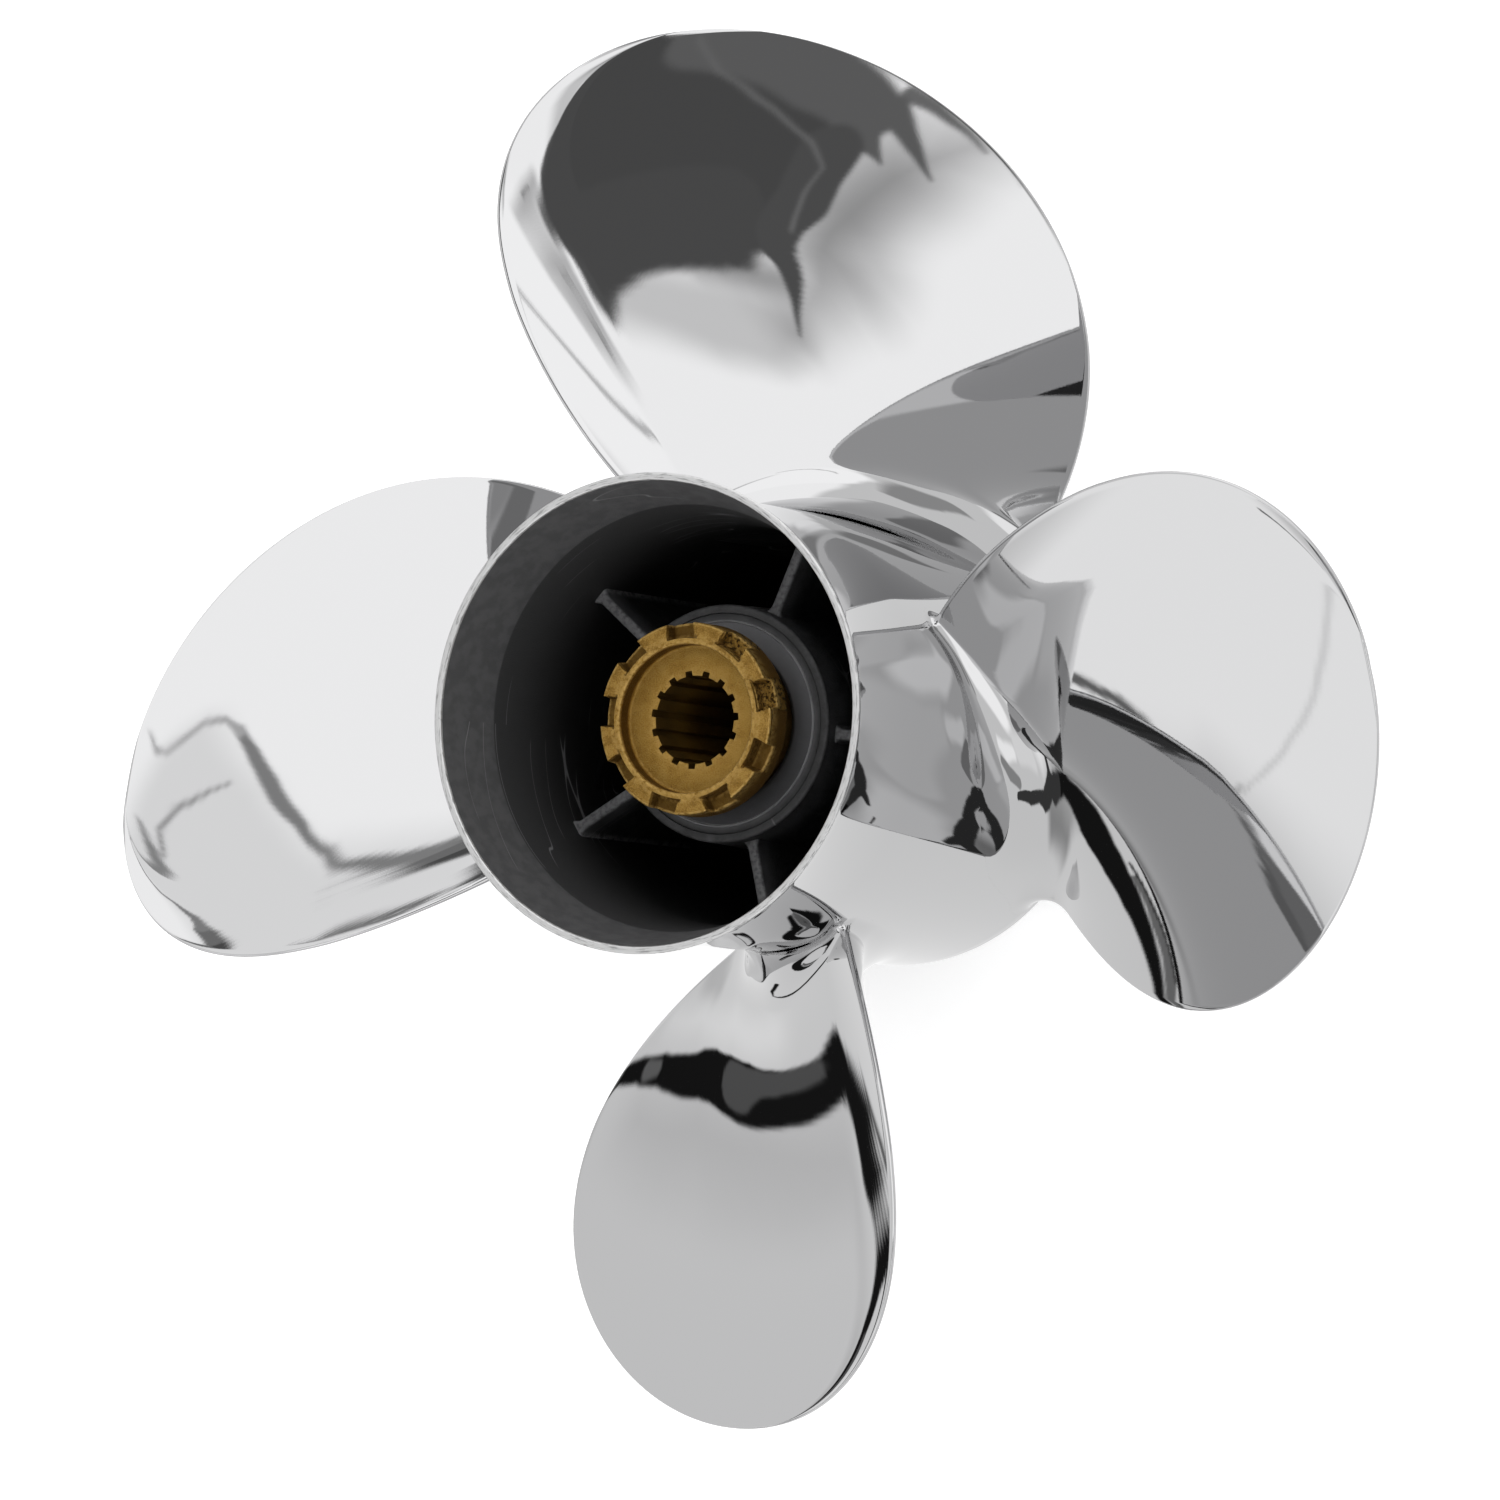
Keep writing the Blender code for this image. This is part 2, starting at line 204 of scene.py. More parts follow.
@dataclass(frozen=True)
class BladeForm:
    """The law of one blade.

    A section lies at a share of the tip radius, and a place along it runs from 0 at its leading
    edge to 1 at its trailing edge.
    """

    tip_radius: float
    barrel: BarrelForm
    pitch: float = 17.3 * INCH
    pitch_gain: float = 0.151
    chord_widest: float = 0.864
    widest_at: float = 0.696
    tip_roundness: float = 2.41
    root_at: float = 0.328
    root_narrowing: float = 0.327
    root_power: float = 1.64
    skew_root: float = -0.115
    skew_gain: float = 0.149
    skew_power: float = 2.82
    rake_depth: float = 0.509
    rake_slope: float = 0.538
    rake_curve: float = -0.262
    root_thickness: float = 12.5 * MM
    tip_thickness: float = 3.2 * MM
    edge_thickness: float = 1.6 * MM
    thinning_power: float = 1.4
    tip_easing: float = 0.35
    cup_height: float = 3.4 * MM
    cup_start: float = 0.86
    cup_power: float = 1.6
    swell_height: float = 7.2 * MM
    swell_reach: float = 0.365
    swell_lean: float = 1.2
    swell_fading: float = 1.8
    swell_most: float = 1.2

    def chord(self, share: Array) -> Array:
        """Length of a section along its helix.

        Args:
            share: Radii as shares of the tip radius.

        Returns:
            The length at each.
        """
        outboard = np.clip((share - self.widest_at) / (1 - self.widest_at), 0.0, 1.0)
        inboard = np.maximum((self.widest_at - share) / (self.widest_at - self.root_at), 0.0)
        narrowing = 1 - self.root_narrowing * inboard**self.root_power
        rounding = np.sqrt(1 - outboard**self.tip_roundness)
        return self.chord_widest * self.tip_radius * rounding * narrowing

    def fullness(self, share: Array) -> Array:
        """Length of a section as a share of the longest."""
        return self.chord(share) / (self.chord_widest * self.tip_radius)

    def skew(self, share: Array) -> Array:
        """Angle of a section's middle."""
        run = np.maximum((share - self.root_at) / (1 - self.root_at), 0.0)
        return self.skew_root + self.skew_gain * run**self.skew_power

    def reference(self, share: Array) -> Array:
        """Height of the blade's reference line."""
        run = share - self.root_at
        return self.barrel.length + self.tip_radius * (
            -self.rake_depth + self.rake_slope * run + self.rake_curve * run**2)

    def rise(self, share: Array) -> Array:
        """Rise of the face for each radian of turn."""
        return (self.pitch + self.pitch_gain * self.tip_radius * (share - self.widest_at)) / math.tau

    def thickness(self, share: Array, along: Array) -> Array:
        """Thickness between face and back, before the edges are rounded.

        Args:
            share: Radii as shares of the tip radius.
            along: Places along the chord.

        Returns:
            The thickness at each place.
        """
        run = ((1 - share) / (1 - self.root_at)) ** self.thinning_power
        middle = self.tip_thickness + (self.root_thickness - self.tip_thickness) * run
        middle = middle * np.minimum(self.fullness(share) + self.tip_easing, 1.0)
        return self.edge_thickness + (middle - self.edge_thickness) * 4 * along * (1 - along)

    def cup(self, share: Array, along: Array) -> Array:
        """Rise of the face towards the trailing edge."""
        run = np.maximum((along - self.cup_start) / (1 - self.cup_start), 0.0)
        return self.cup_height * np.minimum(self.fullness(share), 1.0) * run**self.cup_power

    def swell(self, share: Array, along: Array) -> Array:
        """Fullness of the face near the root, nothing at the edges.

        Args:
            share: Radii as shares of the tip radius.
            along: Places along the chord.

        Returns:
            The rise over a plain helical face.
        """
        fading = np.clip(1 - (share - self.root_at) / self.swell_reach, 0.0, self.swell_most)
        leaning = along**self.swell_lean
        return self.swell_height * fading**self.swell_fading * 4 * leaning * (1 - leaning)

    def place(self, radius: Array, reach: Array, lift: Array) -> tuple[Array, Array]:
        """Angle and height of a point of a section.

        Args:
            radius: Radius of the section.
            reach: Distance along the chord from the leading edge.
            lift: Distance from the helix, towards aft.

        Returns:
            The angle in the blade's own frame and the height.
        """
        share = radius / self.tip_radius
        rise = self.rise(share)
        slope = np.arctan2(rise, radius)
        offset = reach - self.chord(share) / 2
        angle = self.skew(share) + (offset * np.cos(slope) - lift * np.sin(slope)) / radius
        height = self.reference(share) + rise * self.skew(share)
        return angle, height + offset * np.sin(slope) + lift * np.cos(slope)


@dataclass(frozen=True)
class Fillet:
    """How far a fillet reaches up the blade and out over the barrel."""

    rise: float
    spread: float

    def eased(self, other: "Fillet", share: Array) -> "Fillet":
        """The sizes on the way to another fillet, for shares from 0 to 1."""
        return Fillet(self.rise + (other.rise - self.rise) * share,
                      self.spread + (other.spread - self.spread) * share)


@dataclass
class Blade:
    """One blade, with rounded edges and a fillet that runs out on the barrel."""

    form: BladeForm
    edge_steps: int = 6
    chord_steps: int = 56
    inner_rows: int = 22
    outer_rows: int = 44
    fillet_rows: int = 16
    settling_steps: int = 6
    tip_angle: float = math.radians(88.4)
    face_fillet: Fillet = Fillet(18 * MM, 18 * MM)
    back_fillet: Fillet = Fillet(17 * MM, 17 * MM)
    leading_fillet: Fillet = Fillet(14 * MM, 12 * MM)
    trailing_fillet: Fillet = Fillet(4 * MM, 4 * MM)
    leading_run: float = 0.3
    trailing_run: float = 0.55
    fillet_pull: tuple[float, float] = (0.3, 0.62)
    skirt_depth: float = 0.8 * MM
    skirt_sink: float = 0.01 * MM
    foot_margin: float = 1.7 * MM
    least_lean: float = 0.05
    probe: float = 0.02 * MM

    def perimeter(self) -> tuple[Array, Array, Array, Array]:
        """Lay out the points round a section, face first and back again.

        Returns:
            For each point its steps into the rounded edges, its share of the run between them,
            the rounding of the thickness there, and 1 on the face or -1 on the back.
        """
        turn = np.linspace(0, math.pi / 2, self.edge_steps + 1)
        run = (1 - np.cos(np.linspace(0, math.pi, self.chord_steps + 1))) / 2
        run = 0.5 * run + 0.5 * np.linspace(0, 1, self.chord_steps + 1)
        inset = np.concatenate([1 - np.cos(turn[:-1]), np.ones_like(run), 1 + np.sin(turn[1:])])
        share = np.concatenate([np.zeros(self.edge_steps), run, np.ones(self.edge_steps)])
        rounding = np.concatenate([np.sin(turn[:-1]), np.ones_like(run), np.cos(turn[1:])])
        back = slice(-2, 0, -1)
        inset, share, rounding = (np.concatenate([row, row[back]]) for row in (inset, share, rounding))
        face_count = (len(inset) + 2) // 2
        return inset, share, rounding, np.where(np.arange(len(inset)) < face_count, 1.0, -1.0)

    def section(self, radius: Array) -> tuple[Array, Array]:
        """Angles and heights of the section points at given radii.

        Args:
            radius: Radius of each point, with one column for each point of the perimeter.

        Returns:
            Angles and heights of the same shape.
        """
        form = self.form
        inset, run, rounding, side = self.perimeter()
        share, edge = radius / form.tip_radius, form.edge_thickness / 2
        chord = form.chord(share)
        reach = edge * inset + (chord - 2 * edge) * run
        along = np.clip(reach / chord, 0.0, 1.0)
        swell = form.swell(share, along)
        thick = form.thickness(share, along) + swell
        near_tip = np.clip((form.tip_radius - radius) / edge, 0.0, 1.0)
        rounding = rounding * np.sqrt(1 - (1 - near_tip) ** 2)
        return form.place(radius, reach, form.cup(share, along) + swell + (side * rounding - 1) * thick / 2)

    def fillet_sizes(self) -> Fillet:
        """Work out the fillet round the section, from its sizes at the face, back and edges.

        Returns:
            A fillet whose sizes are arrays with a value for each point of the perimeter.
        """
        _, share, _, side = self.perimeter()
        middle = self.back_fillet.eased(self.face_fillet, np.where(side > 0, 1.0, 0.0))
        ahead = self.leading_fillet.eased(middle, smooth_step(share / self.leading_run))
        return self.trailing_fillet.eased(ahead, smooth_step((1 - share) / self.trailing_run))

    def radius_above(self, rise: Array) -> Array:
        """Find where the section points stand a given rise above the barrel.

        Args:
            rise: Rise of each point of the perimeter.

        Returns:
            The radius of each point.
        """
        radius = self.form.barrel.waist_radius + rise
        for _ in range(self.settling_steps):
            radius = self.form.barrel.outside(self.section(radius)[1]) + rise
        return radius

    def unrolled(self, radius: Array) -> Array:
        """Unroll the barrel flat, with the section points on it.

        Args:
            radius: Radius of each point of the perimeter.

        Returns:
            For each point its run round the barrel, its height and its rise above the barrel.
        """
        angle, height = self.section(radius)
        rise = radius - self.form.barrel.outside(height)
        return np.stack([angle * self.form.barrel.waist_radius, height, rise], axis=-1)

    def rolled(self, flat: Array) -> Array:
        """Points in space from places on the unrolled barrel."""
        radius = self.form.barrel.outside(flat[..., 1]) + flat[..., 2]
        return polar(radius, flat[..., 0] / self.form.barrel.waist_radius, flat[..., 1])

    def root_rows(self) -> Array:
        """Lay the fillet as curves that leave the barrel level and meet the blade along its slope.

        Returns:
            Loops from inside the barrel's wall up to where the blade is plain.
        """
        size = self.fillet_sizes()
        start = self.radius_above(size.rise)
        top = self.unrolled(start)
        slope = (self.unrolled(start + self.probe) - self.unrolled(start - self.probe)) / (2 * self.probe)
        corner = top - slope / slope[:, 2:] * top[:, 2:]
        tangent = np.roll(corner, -1, axis=0) - np.roll(corner, 1, axis=0)
        outward = np.stack([tangent[:, 1], -tangent[:, 0], np.zeros(len(corner))], axis=-1)
        outward /= np.linalg.norm(outward, axis=1, keepdims=True)
        if ((corner - corner.mean(axis=0)) * outward).sum() < 0:
            outward = -outward
        # The foot stays on the barrel, also where the blade starts close to its forward end.
        room = corner[:, 1] - self.foot_margin
        spread = np.minimum(size.spread, room / np.maximum(-outward[:, 1], self.least_lean))
        foot = corner + outward * spread[:, None]
        skirt = foot + outward * self.skirt_depth
        sunk = skirt - np.array([0, 0, self.skirt_depth])
        skirt[:, 2] = -self.skirt_sink
        share = np.linspace(0, 1, self.fillet_rows + 1)[:-1, None, None]
        near, far = self.fillet_pull
        controls = (foot, foot + near * (corner - foot), foot + far * (corner - foot),
                    top + far * (corner - top), top + near * (corner - top), top)
        degree = len(controls) - 1
        curve = sum(math.comb(degree, k) * share**k * (1 - share) ** (degree - k) * point
                    for k, point in enumerate(controls))
        return np.concatenate([self.rolled(np.stack([sunk, skirt])), self.rolled(curve)])

    def blade_rows(self) -> Array:
        """Lay the plain blade, with rows that crowd towards the tip.

        Returns:
            Loops from the top of the fillet to the tip.
        """
        form = self.form
        start = self.radius_above(self.fillet_sizes().rise)
        middle = form.widest_at * form.tip_radius
        inner = np.linspace(0, 1, self.inner_rows, endpoint=False)
        outer = [math.sin(turn) ** (2 / form.tip_roundness)
                 for turn in np.linspace(0, self.tip_angle, self.outer_rows + 1)]
        radii = [start + (middle - start) * share for share in inner]
        radii += [np.full_like(start, middle + (form.tip_radius - middle) * share) for share in outer]
        radius = np.stack(radii)
        angle, height = self.section(radius)
        return polar(radius, angle, height)

    def loops(self) -> Array:
        """All the loops of the blade, from the barrel's wall to the tip."""
        return np.concatenate([self.root_rows(), self.blade_rows()])


class Wiring:
    """Short ways to add and join the nodes of a tree."""

    def __init__(self, tree: bpy.types.NodeTree) -> None:
        """Work in one node tree."""
        self.tree = tree

    def feed(self, socket: Socket, value: object) -> None:
        """Join an output to an input, or set a plain value on it.

        Args:
            socket: The input.
            value: An output, a number, a vector, a colour without alpha or a material.
        """
        if isinstance(value, Socket):
            self.tree.links.new(value, socket)
        elif socket.type == "RGBA":
            socket.default_value = (*value, 1.0)
        else:
            socket.default_value = value

    def add(self, kind: str, *values: object, **properties: object) -> bpy.types.Node:
        """Add a node.

        Args:
            kind: Its type name.
            values: Values or outputs for its inputs, from the first on.
            properties: Its properties.

        Returns:
            The new node.
        """
        node = self.tree.nodes.new(kind)
        for key, value in properties.items():
            setattr(node, key, value)
        for socket, value in zip(node.inputs, values):
            self.feed(socket, value)
        return node

    def fill(self, node: bpy.types.Node, **values: object) -> bpy.types.Node:
        """Feed a node's inputs by name.

        Args:
            node: The node.
            values: Values or outputs by input name, with underscores for spaces.

        Returns:
            The same node.
        """
        for key, value in values.items():
            self.feed(node.inputs[key.replace("_", " ")], value)
        return node

    def math(self, operation: str, *values: object) -> Socket:
        """Output of a Math node."""
        return self.add("ShaderNodeMath", *values, operation=operation).outputs[0]

    def product(self, *masks: object) -> Socket:
        """Masks multiplied together."""
        return reduce(lambda one, two: self.math("MULTIPLY", one, two), masks)

    def split(self, place: Socket) -> tuple[Socket, Socket, Socket]:
        """The three coordinates of a place."""
        return tuple(self.add("ShaderNodeSeparateXYZ", place).outputs)

    def combined(self, *coordinates: object) -> Socket:
        """A place made of coordinates."""
        return self.add("ShaderNodeCombineXYZ", *coordinates).outputs[0]

    def attribute(self, name: str) -> Socket:
        """Value of a point attribute."""
        return self.add("ShaderNodeAttribute", attribute_name=name).outputs["Fac"]

    def blend(self, share: object, one: object, two: object) -> Socket:
        """Mix two colours.

        Args:
            share: How much of the second colour.
            one: First colour or output.
            two: Second colour or output.

        Returns:
            The mixed colour.
        """
        # A Mix node holds sockets for every kind of data, with its colours at these places.
        first, second, result = 6, 7, 2
        node = self.add("ShaderNodeMix", share, data_type="RGBA")
        self.feed(node.inputs[first], one)
        self.feed(node.inputs[second], two)
        return node.outputs[result]

    def window(self, value: Socket, low: float, high: float, start: float = 0.0, end: float = 1.0) -> Socket:
        """Value mapped smoothly, with the start at the low value and the end at the high one."""
        return self.add("ShaderNodeMapRange", value, low, high, start, end,
                        interpolation_type="SMOOTHSTEP").outputs[0]

    def between(self, mask: Socket, ends: Pair) -> Socket:
        """Value that runs from one end to the other as a mask turns from 0 to 1."""
        return self.window(mask, 0.0, 1.0, *ends)

    def past(self, value: Socket, place: float, low: float, high: float) -> Socket:
        """Mask that turns from 0 to 1 between two distances from a place, in millimetres."""
        return self.window(value, place + low * MM, place + high * MM)

    def noise(self, place: Socket, scale: object, detail: float = 3.0, roughness: float = 0.5) -> Socket:
        """Noise around a half, with its scale in features for each metre."""
        return self.fill(self.add("ShaderNodeTexNoise"), Vector=place, Scale=scale, Detail=detail,
                         Roughness=roughness).outputs[0]


class GroupWiring(Wiring):
    """Wiring of a new node group, with its inputs and its results at hand."""

    def __init__(self, name: str, kind: str, inputs: dict[str, str], outputs: dict[str, str]) -> None:
        """Start the group.

        Args:
            name: Name of the group.
            kind: Type name of its tree.
            inputs: Kind of value of each input, by name.
            outputs: Kind of value of each output, by name.
        """
        super().__init__(bpy.data.node_groups.new(name, kind))
        for side, sockets in (("INPUT", inputs), ("OUTPUT", outputs)):
            for label, value in sockets.items():
                self.tree.interface.new_socket(label, in_out=side, socket_type="NodeSocket" + value)
        self.given = self.add("NodeGroupInput").outputs
        self.result = self.add("NodeGroupOutput")


def grain_group() -> bpy.types.NodeTree:
    """Make the group for cast and moulded grain.

    Returns:
        A group that takes coordinates and a scale and gives a height and a blotch mask.
    """
    group = GroupWiring(Effect.GRAIN.value, "ShaderNodeTree", {"Place": "Vector", "Scale": "Float"},
                        {"Height": "Float", "Blotch": "Float"})
    place, scale = group.given["Place"], group.given["Scale"]
    fine = group.noise(place, scale, detail=4.0, roughness=0.6)
    coarse = group.noise(place, group.product(scale, 0.12), detail=2.0)
    group.fill(group.result, Height=group.math("MULTIPLY_ADD", coarse, 0.6, fine),
               Blotch=group.window(coarse, 0.35, 0.65))
    return group.tree


def wear_and_highlight_group() -> bpy.types.NodeTree:
    """Make the group for scuffed edges and painted highlights.

    Returns:
        A group that takes coordinates and an amount and gives a mask from the marks attribute, which holds
        scuffs and painted highlights.
    """
    group = GroupWiring(Effect.WEAR_AND_HIGHLIGHT.value, "ShaderNodeTree", {"Place": "Vector", "Amount": "Float"},
                        {"Mask": "Float"})
    patchy = group.window(group.noise(group.given["Place"], 900.0), 0.3, 0.6)
    group.fill(group.result, Mask=group.product(group.attribute("wear_and_highlight_marks"), patchy, group.given["Amount"]))
    return group.tree


def scratch_group() -> bpy.types.NodeTree:
    """Make the group for thin scratches that run round the shaft.

    Returns:
        A group that takes coordinates and an amount and gives a mask of sparse thin lines.
    """
    group = GroupWiring(Effect.SCRATCHES.value, "ShaderNodeTree", {"Place": "Vector", "Amount": "Float"},
                        {"Mask": "Float"})
    place = group.given["Place"]
    x, y, z = group.split(place)
    drawn = group.combined(group.product(group.math("ARCTAN2", y, x), 1.2), group.product(z, 110.0))
    field = group.math("SUBTRACT", group.noise(drawn, 1.0, detail=0.0), 0.5)
    line = group.window(group.math("ABSOLUTE", field), 0.007, 0.002)
    patch = group.window(group.noise(place, 30.0, detail=1.0), 0.54, 0.6)
    group.fill(group.result, Mask=group.product(line, patch, group.given["Amount"]))
    return group.tree


def link(name: str, data: bpy.types.ID) -> bpy.types.Object:
    """Put a mesh or a camera in the scene.

    Args:
        name: Name of the object.
        data: What it holds.

    Returns:
        The new object.
    """
    thing = bpy.data.objects.new(name, data)
    bpy.context.scene.collection.objects.link(thing)
    return thing


def ring_of_copies(name: str, copy: Mesh, count: int, first_angle: float, material: Material) -> Mesh:
    """Set copies of a mesh round the shaft with a Geometry Nodes tree.

    Args:
        name: Name of the new mesh.
        copy: Mesh of one piece, in the frame where its own angle is 0.
        count: Number of pieces.
        first_angle: Angle of the first piece.
        material: Material of all of them.

    Returns:
        One mesh that holds every copy.
    """
    ring = GroupWiring(name + "_ring", "GeometryNodeTree",
                       {"Geometry": "Geometry", "Count": "Int", "First Angle": "Float"},
                       {"Geometry": "Geometry"})
    line = ring.fill(ring.add("GeometryNodeMeshLine"), Count=ring.given["Count"], Offset=(0, 0, 0))
    step = ring.math("DIVIDE", math.tau, ring.given["Count"])
    number = ring.add("GeometryNodeInputIndex").outputs[0]
    turn = ring.math("MULTIPLY_ADD", number, step, ring.given["First Angle"])
    places = ring.fill(ring.add("GeometryNodeInstanceOnPoints"), Points=line.outputs["Mesh"],
                       Instance=ring.given["Geometry"], Rotation=ring.combined(0.0, 0.0, turn))
    real = ring.add("GeometryNodeRealizeInstances", places.outputs[0])
    dressed = ring.fill(ring.add("GeometryNodeSetMaterial"), Geometry=real.outputs[0], Material=material)
    ring.fill(ring.result, Geometry=dressed.outputs[0])
    carrier = link(name + "_carrier", copy)
    modifier = carrier.modifiers.new("ring", "NODES")
    modifier.node_group = ring.tree
    sockets = ring.tree.interface.items_tree
    names = {socket.name: socket.identifier for socket in sockets if socket.in_out == "INPUT"}
    modifier[names["Count"]] = count
    modifier[names["First Angle"]] = first_angle
    seen = carrier.evaluated_get(bpy.context.evaluated_depsgraph_get())
    mesh = bpy.data.meshes.new_from_object(seen)
    mesh.name = name
    bpy.data.objects.remove(carrier, do_unlink=True)
    return mesh


def joined(name: str, meshes: list[Mesh], material: Material) -> bpy.types.Object:
    """Join meshes into one piece.

    Args:
        name: Name of the piece.
        meshes: Meshes that already lie in their places.
        material: Material of the piece.

    Returns:
        The piece, linked to the scene.
    """
    for mesh in meshes:
        mesh.materials.clear()
        mesh.materials.append(material)
    pieces = [link(name, mesh) for mesh in meshes]
    if len(pieces) > 1:
        with bpy.context.temp_override(active_object=pieces[0], object=pieces[0],
                                       selected_objects=pieces, selected_editable_objects=pieces):
            bpy.ops.object.join()
    return pieces[0]


def principled(name: str, **values: object) -> Material:
    """Make a Principled material.

    Args:
        name: Name of the material.
        values: Values of the shader's inputs, with underscores for spaces.

    Returns:
        The new material.
    """
    material = bpy.data.materials.new(name)
    material.use_nodes = True
    Wiring(material.node_tree).fill(material.node_tree.nodes["Principled BSDF"], **values)
    return material


class FinishWiring(Wiring):
    """Wiring of a finish, with the coordinates of the shaded point at hand."""

    def __init__(self, name: str, groups: dict[Effect, bpy.types.NodeTree]) -> None:
        """Start the material, with the point's radius, height and turn about the shaft.

        Args:
            name: Name of the material.
            groups: The shared shader groups.
        """
        self.material = principled(name)
        super().__init__(self.material.node_tree)
        self.groups = groups
        self.shader = self.tree.nodes["Principled BSDF"]
        self.place = self.add("ShaderNodeTexCoord").outputs["Object"]
        x, self.y, self.height = self.split(self.place)
        squares = self.math("MULTIPLY_ADD", x, x, self.product(self.y, self.y))
        self.radius = self.math("SQRT", squares)
        self.turn = self.math("ARCTAN2", self.y, x)

    def effect(self, effect: Effect, **values: object) -> bpy.types.bpy_prop_collection:
        """Outputs of a shared group that is placed with the given values."""
        node = self.add("ShaderNodeGroup", node_tree=self.groups[effect])
        return self.fill(node, Place=self.place, **values).outputs

    def bump(self, height: Socket, relief: Pair) -> None:
        """Feed a height to the shader's normal, with a strength and the depth of a height of one."""
        node = self.fill(self.add("ShaderNodeBump"), Height=height, Strength=relief[0], Distance=relief[1])
        self.fill(self.shader, Normal=node.outputs["Normal"])


@dataclass(frozen=True)
class Finish:
    """Base of the finishes."""

    def dress(self, work: FinishWiring) -> None:
        """Wire the finish up in its material."""
        raise NotImplementedError

    def material(self, slot: Slot, groups: dict[Effect, bpy.types.NodeTree]) -> Material:
        """Make the material of a slot.

        Args:
            slot: The slot, whose name the material takes.
            groups: The shared shader groups.

        Returns:
            The dressed material.
        """
        work = FinishWiring(slot.value + "_finish", groups)
        self.dress(work)
        return work.material


@dataclass(frozen=True)
class PolishedSteel(Finish):
    """Mirror-polished stainless outside, matte black paint inside the barrel, with painted shade further
    down the bore.
    """

    barrel: BarrelForm
    mirror: Colour = (0.505, 0.505, 0.51)
    lip: Shades = ((0.3, 0.3, 0.3), (0.55, 0.55, 0.55))
    # Painted shade: the paint's tones down the bore, darkest furthest down.
    shaded_bore_paint: Shades = ((0.004, 0.004, 0.004), (0.034, 0.034, 0.035))
    mouth_paint: Shades = ((0.062, 0.062, 0.064), (0.078, 0.078, 0.08))
    scratch: Colour = (0.16, 0.16, 0.165)
    nick_scale: Pair = (15.0, 2200.0)
    nick_window: Pair = (0.34, 0.5)
    wall_depth: float = 30 * MM
    wall_radius: float = 56.5 * MM
    grain_scale: float = 2400.0
    scratch_amount: float = 0.9
    roughness: Pair = (0.015, 0.38)
    paint_roughness: float = 0.6
    paint_specular: float = 0.3
    relief: Pair = (0.5, 0.4 * MM)
    mirror_relief: float = 0.004
    lip_relief: float = 0.4
    paint_relief: float = 0.5

    def dress(self, work: FinishWiring) -> None:
        """Wire the finish up: steel, with paint inside the middle of the barrel's wall, darker below the
        step and further down as painted shade.

        Args:
            work: Wiring of the material.
        """
        form, radius, height = self.barrel, work.radius, work.height
        top, step = form.length, form.length - form.step_depth
        middle = work.add("ShaderNodeMapRange", height, top - self.wall_depth, top, self.wall_radius,
                          (form.mouth_radius + form.rim_radius) / 2).outputs[0]
        inside = work.past(work.math("SUBTRACT", radius, middle), 0.0, 0.1, -0.4)
        paint = work.product(inside, work.past(height, top, -0.4, -0.9), work.past(height, 0.0, 0.2, 0.6))
        rim = work.past(height, top, -1.6, -0.5)
        grain = work.effect(Effect.GRAIN, Scale=self.grain_scale)
        scratched = work.effect(Effect.SCRATCHES, Amount=self.scratch_amount)["Mask"]
        drawn = work.combined(*(work.product(*pair) for pair in zip((work.turn, radius), self.nick_scale)))
        nicks = work.window(work.noise(drawn, 1.0, roughness=0.6), *self.nick_window)
        steel = work.blend(rim, self.mirror, work.blend(nicks, *self.lip))
        # Painted shade: the paint darkens down the bore and below the step; the mouth's flare keeps the
        # lighter blotchy tone.
        depth_shade = work.blend(work.past(height, top, -70, -18), *self.shaded_bore_paint)
        mouth = work.blend(grain["Blotch"], *self.mouth_paint)
        black = work.blend(work.past(height, step, -0.3, 0.3), depth_shade, mouth)
        scraped = work.blend(scratched, black, self.scratch)
        polish = work.between(rim, self.roughness)
        work.fill(work.shader, Base_Color=work.blend(paint, steel, scraped),
                  Metallic=work.math("SUBTRACT", 1.0, paint), Specular_IOR_Level=self.paint_specular,
                  Roughness=work.math("MULTIPLY_ADD", paint, self.paint_roughness, polish))
        depth = work.math("MULTIPLY_ADD", rim, self.lip_relief, self.mirror_relief)
        depth = work.math("MULTIPLY_ADD", paint, self.paint_relief, depth)
        work.bump(work.product(grain["Height"], depth), self.relief)


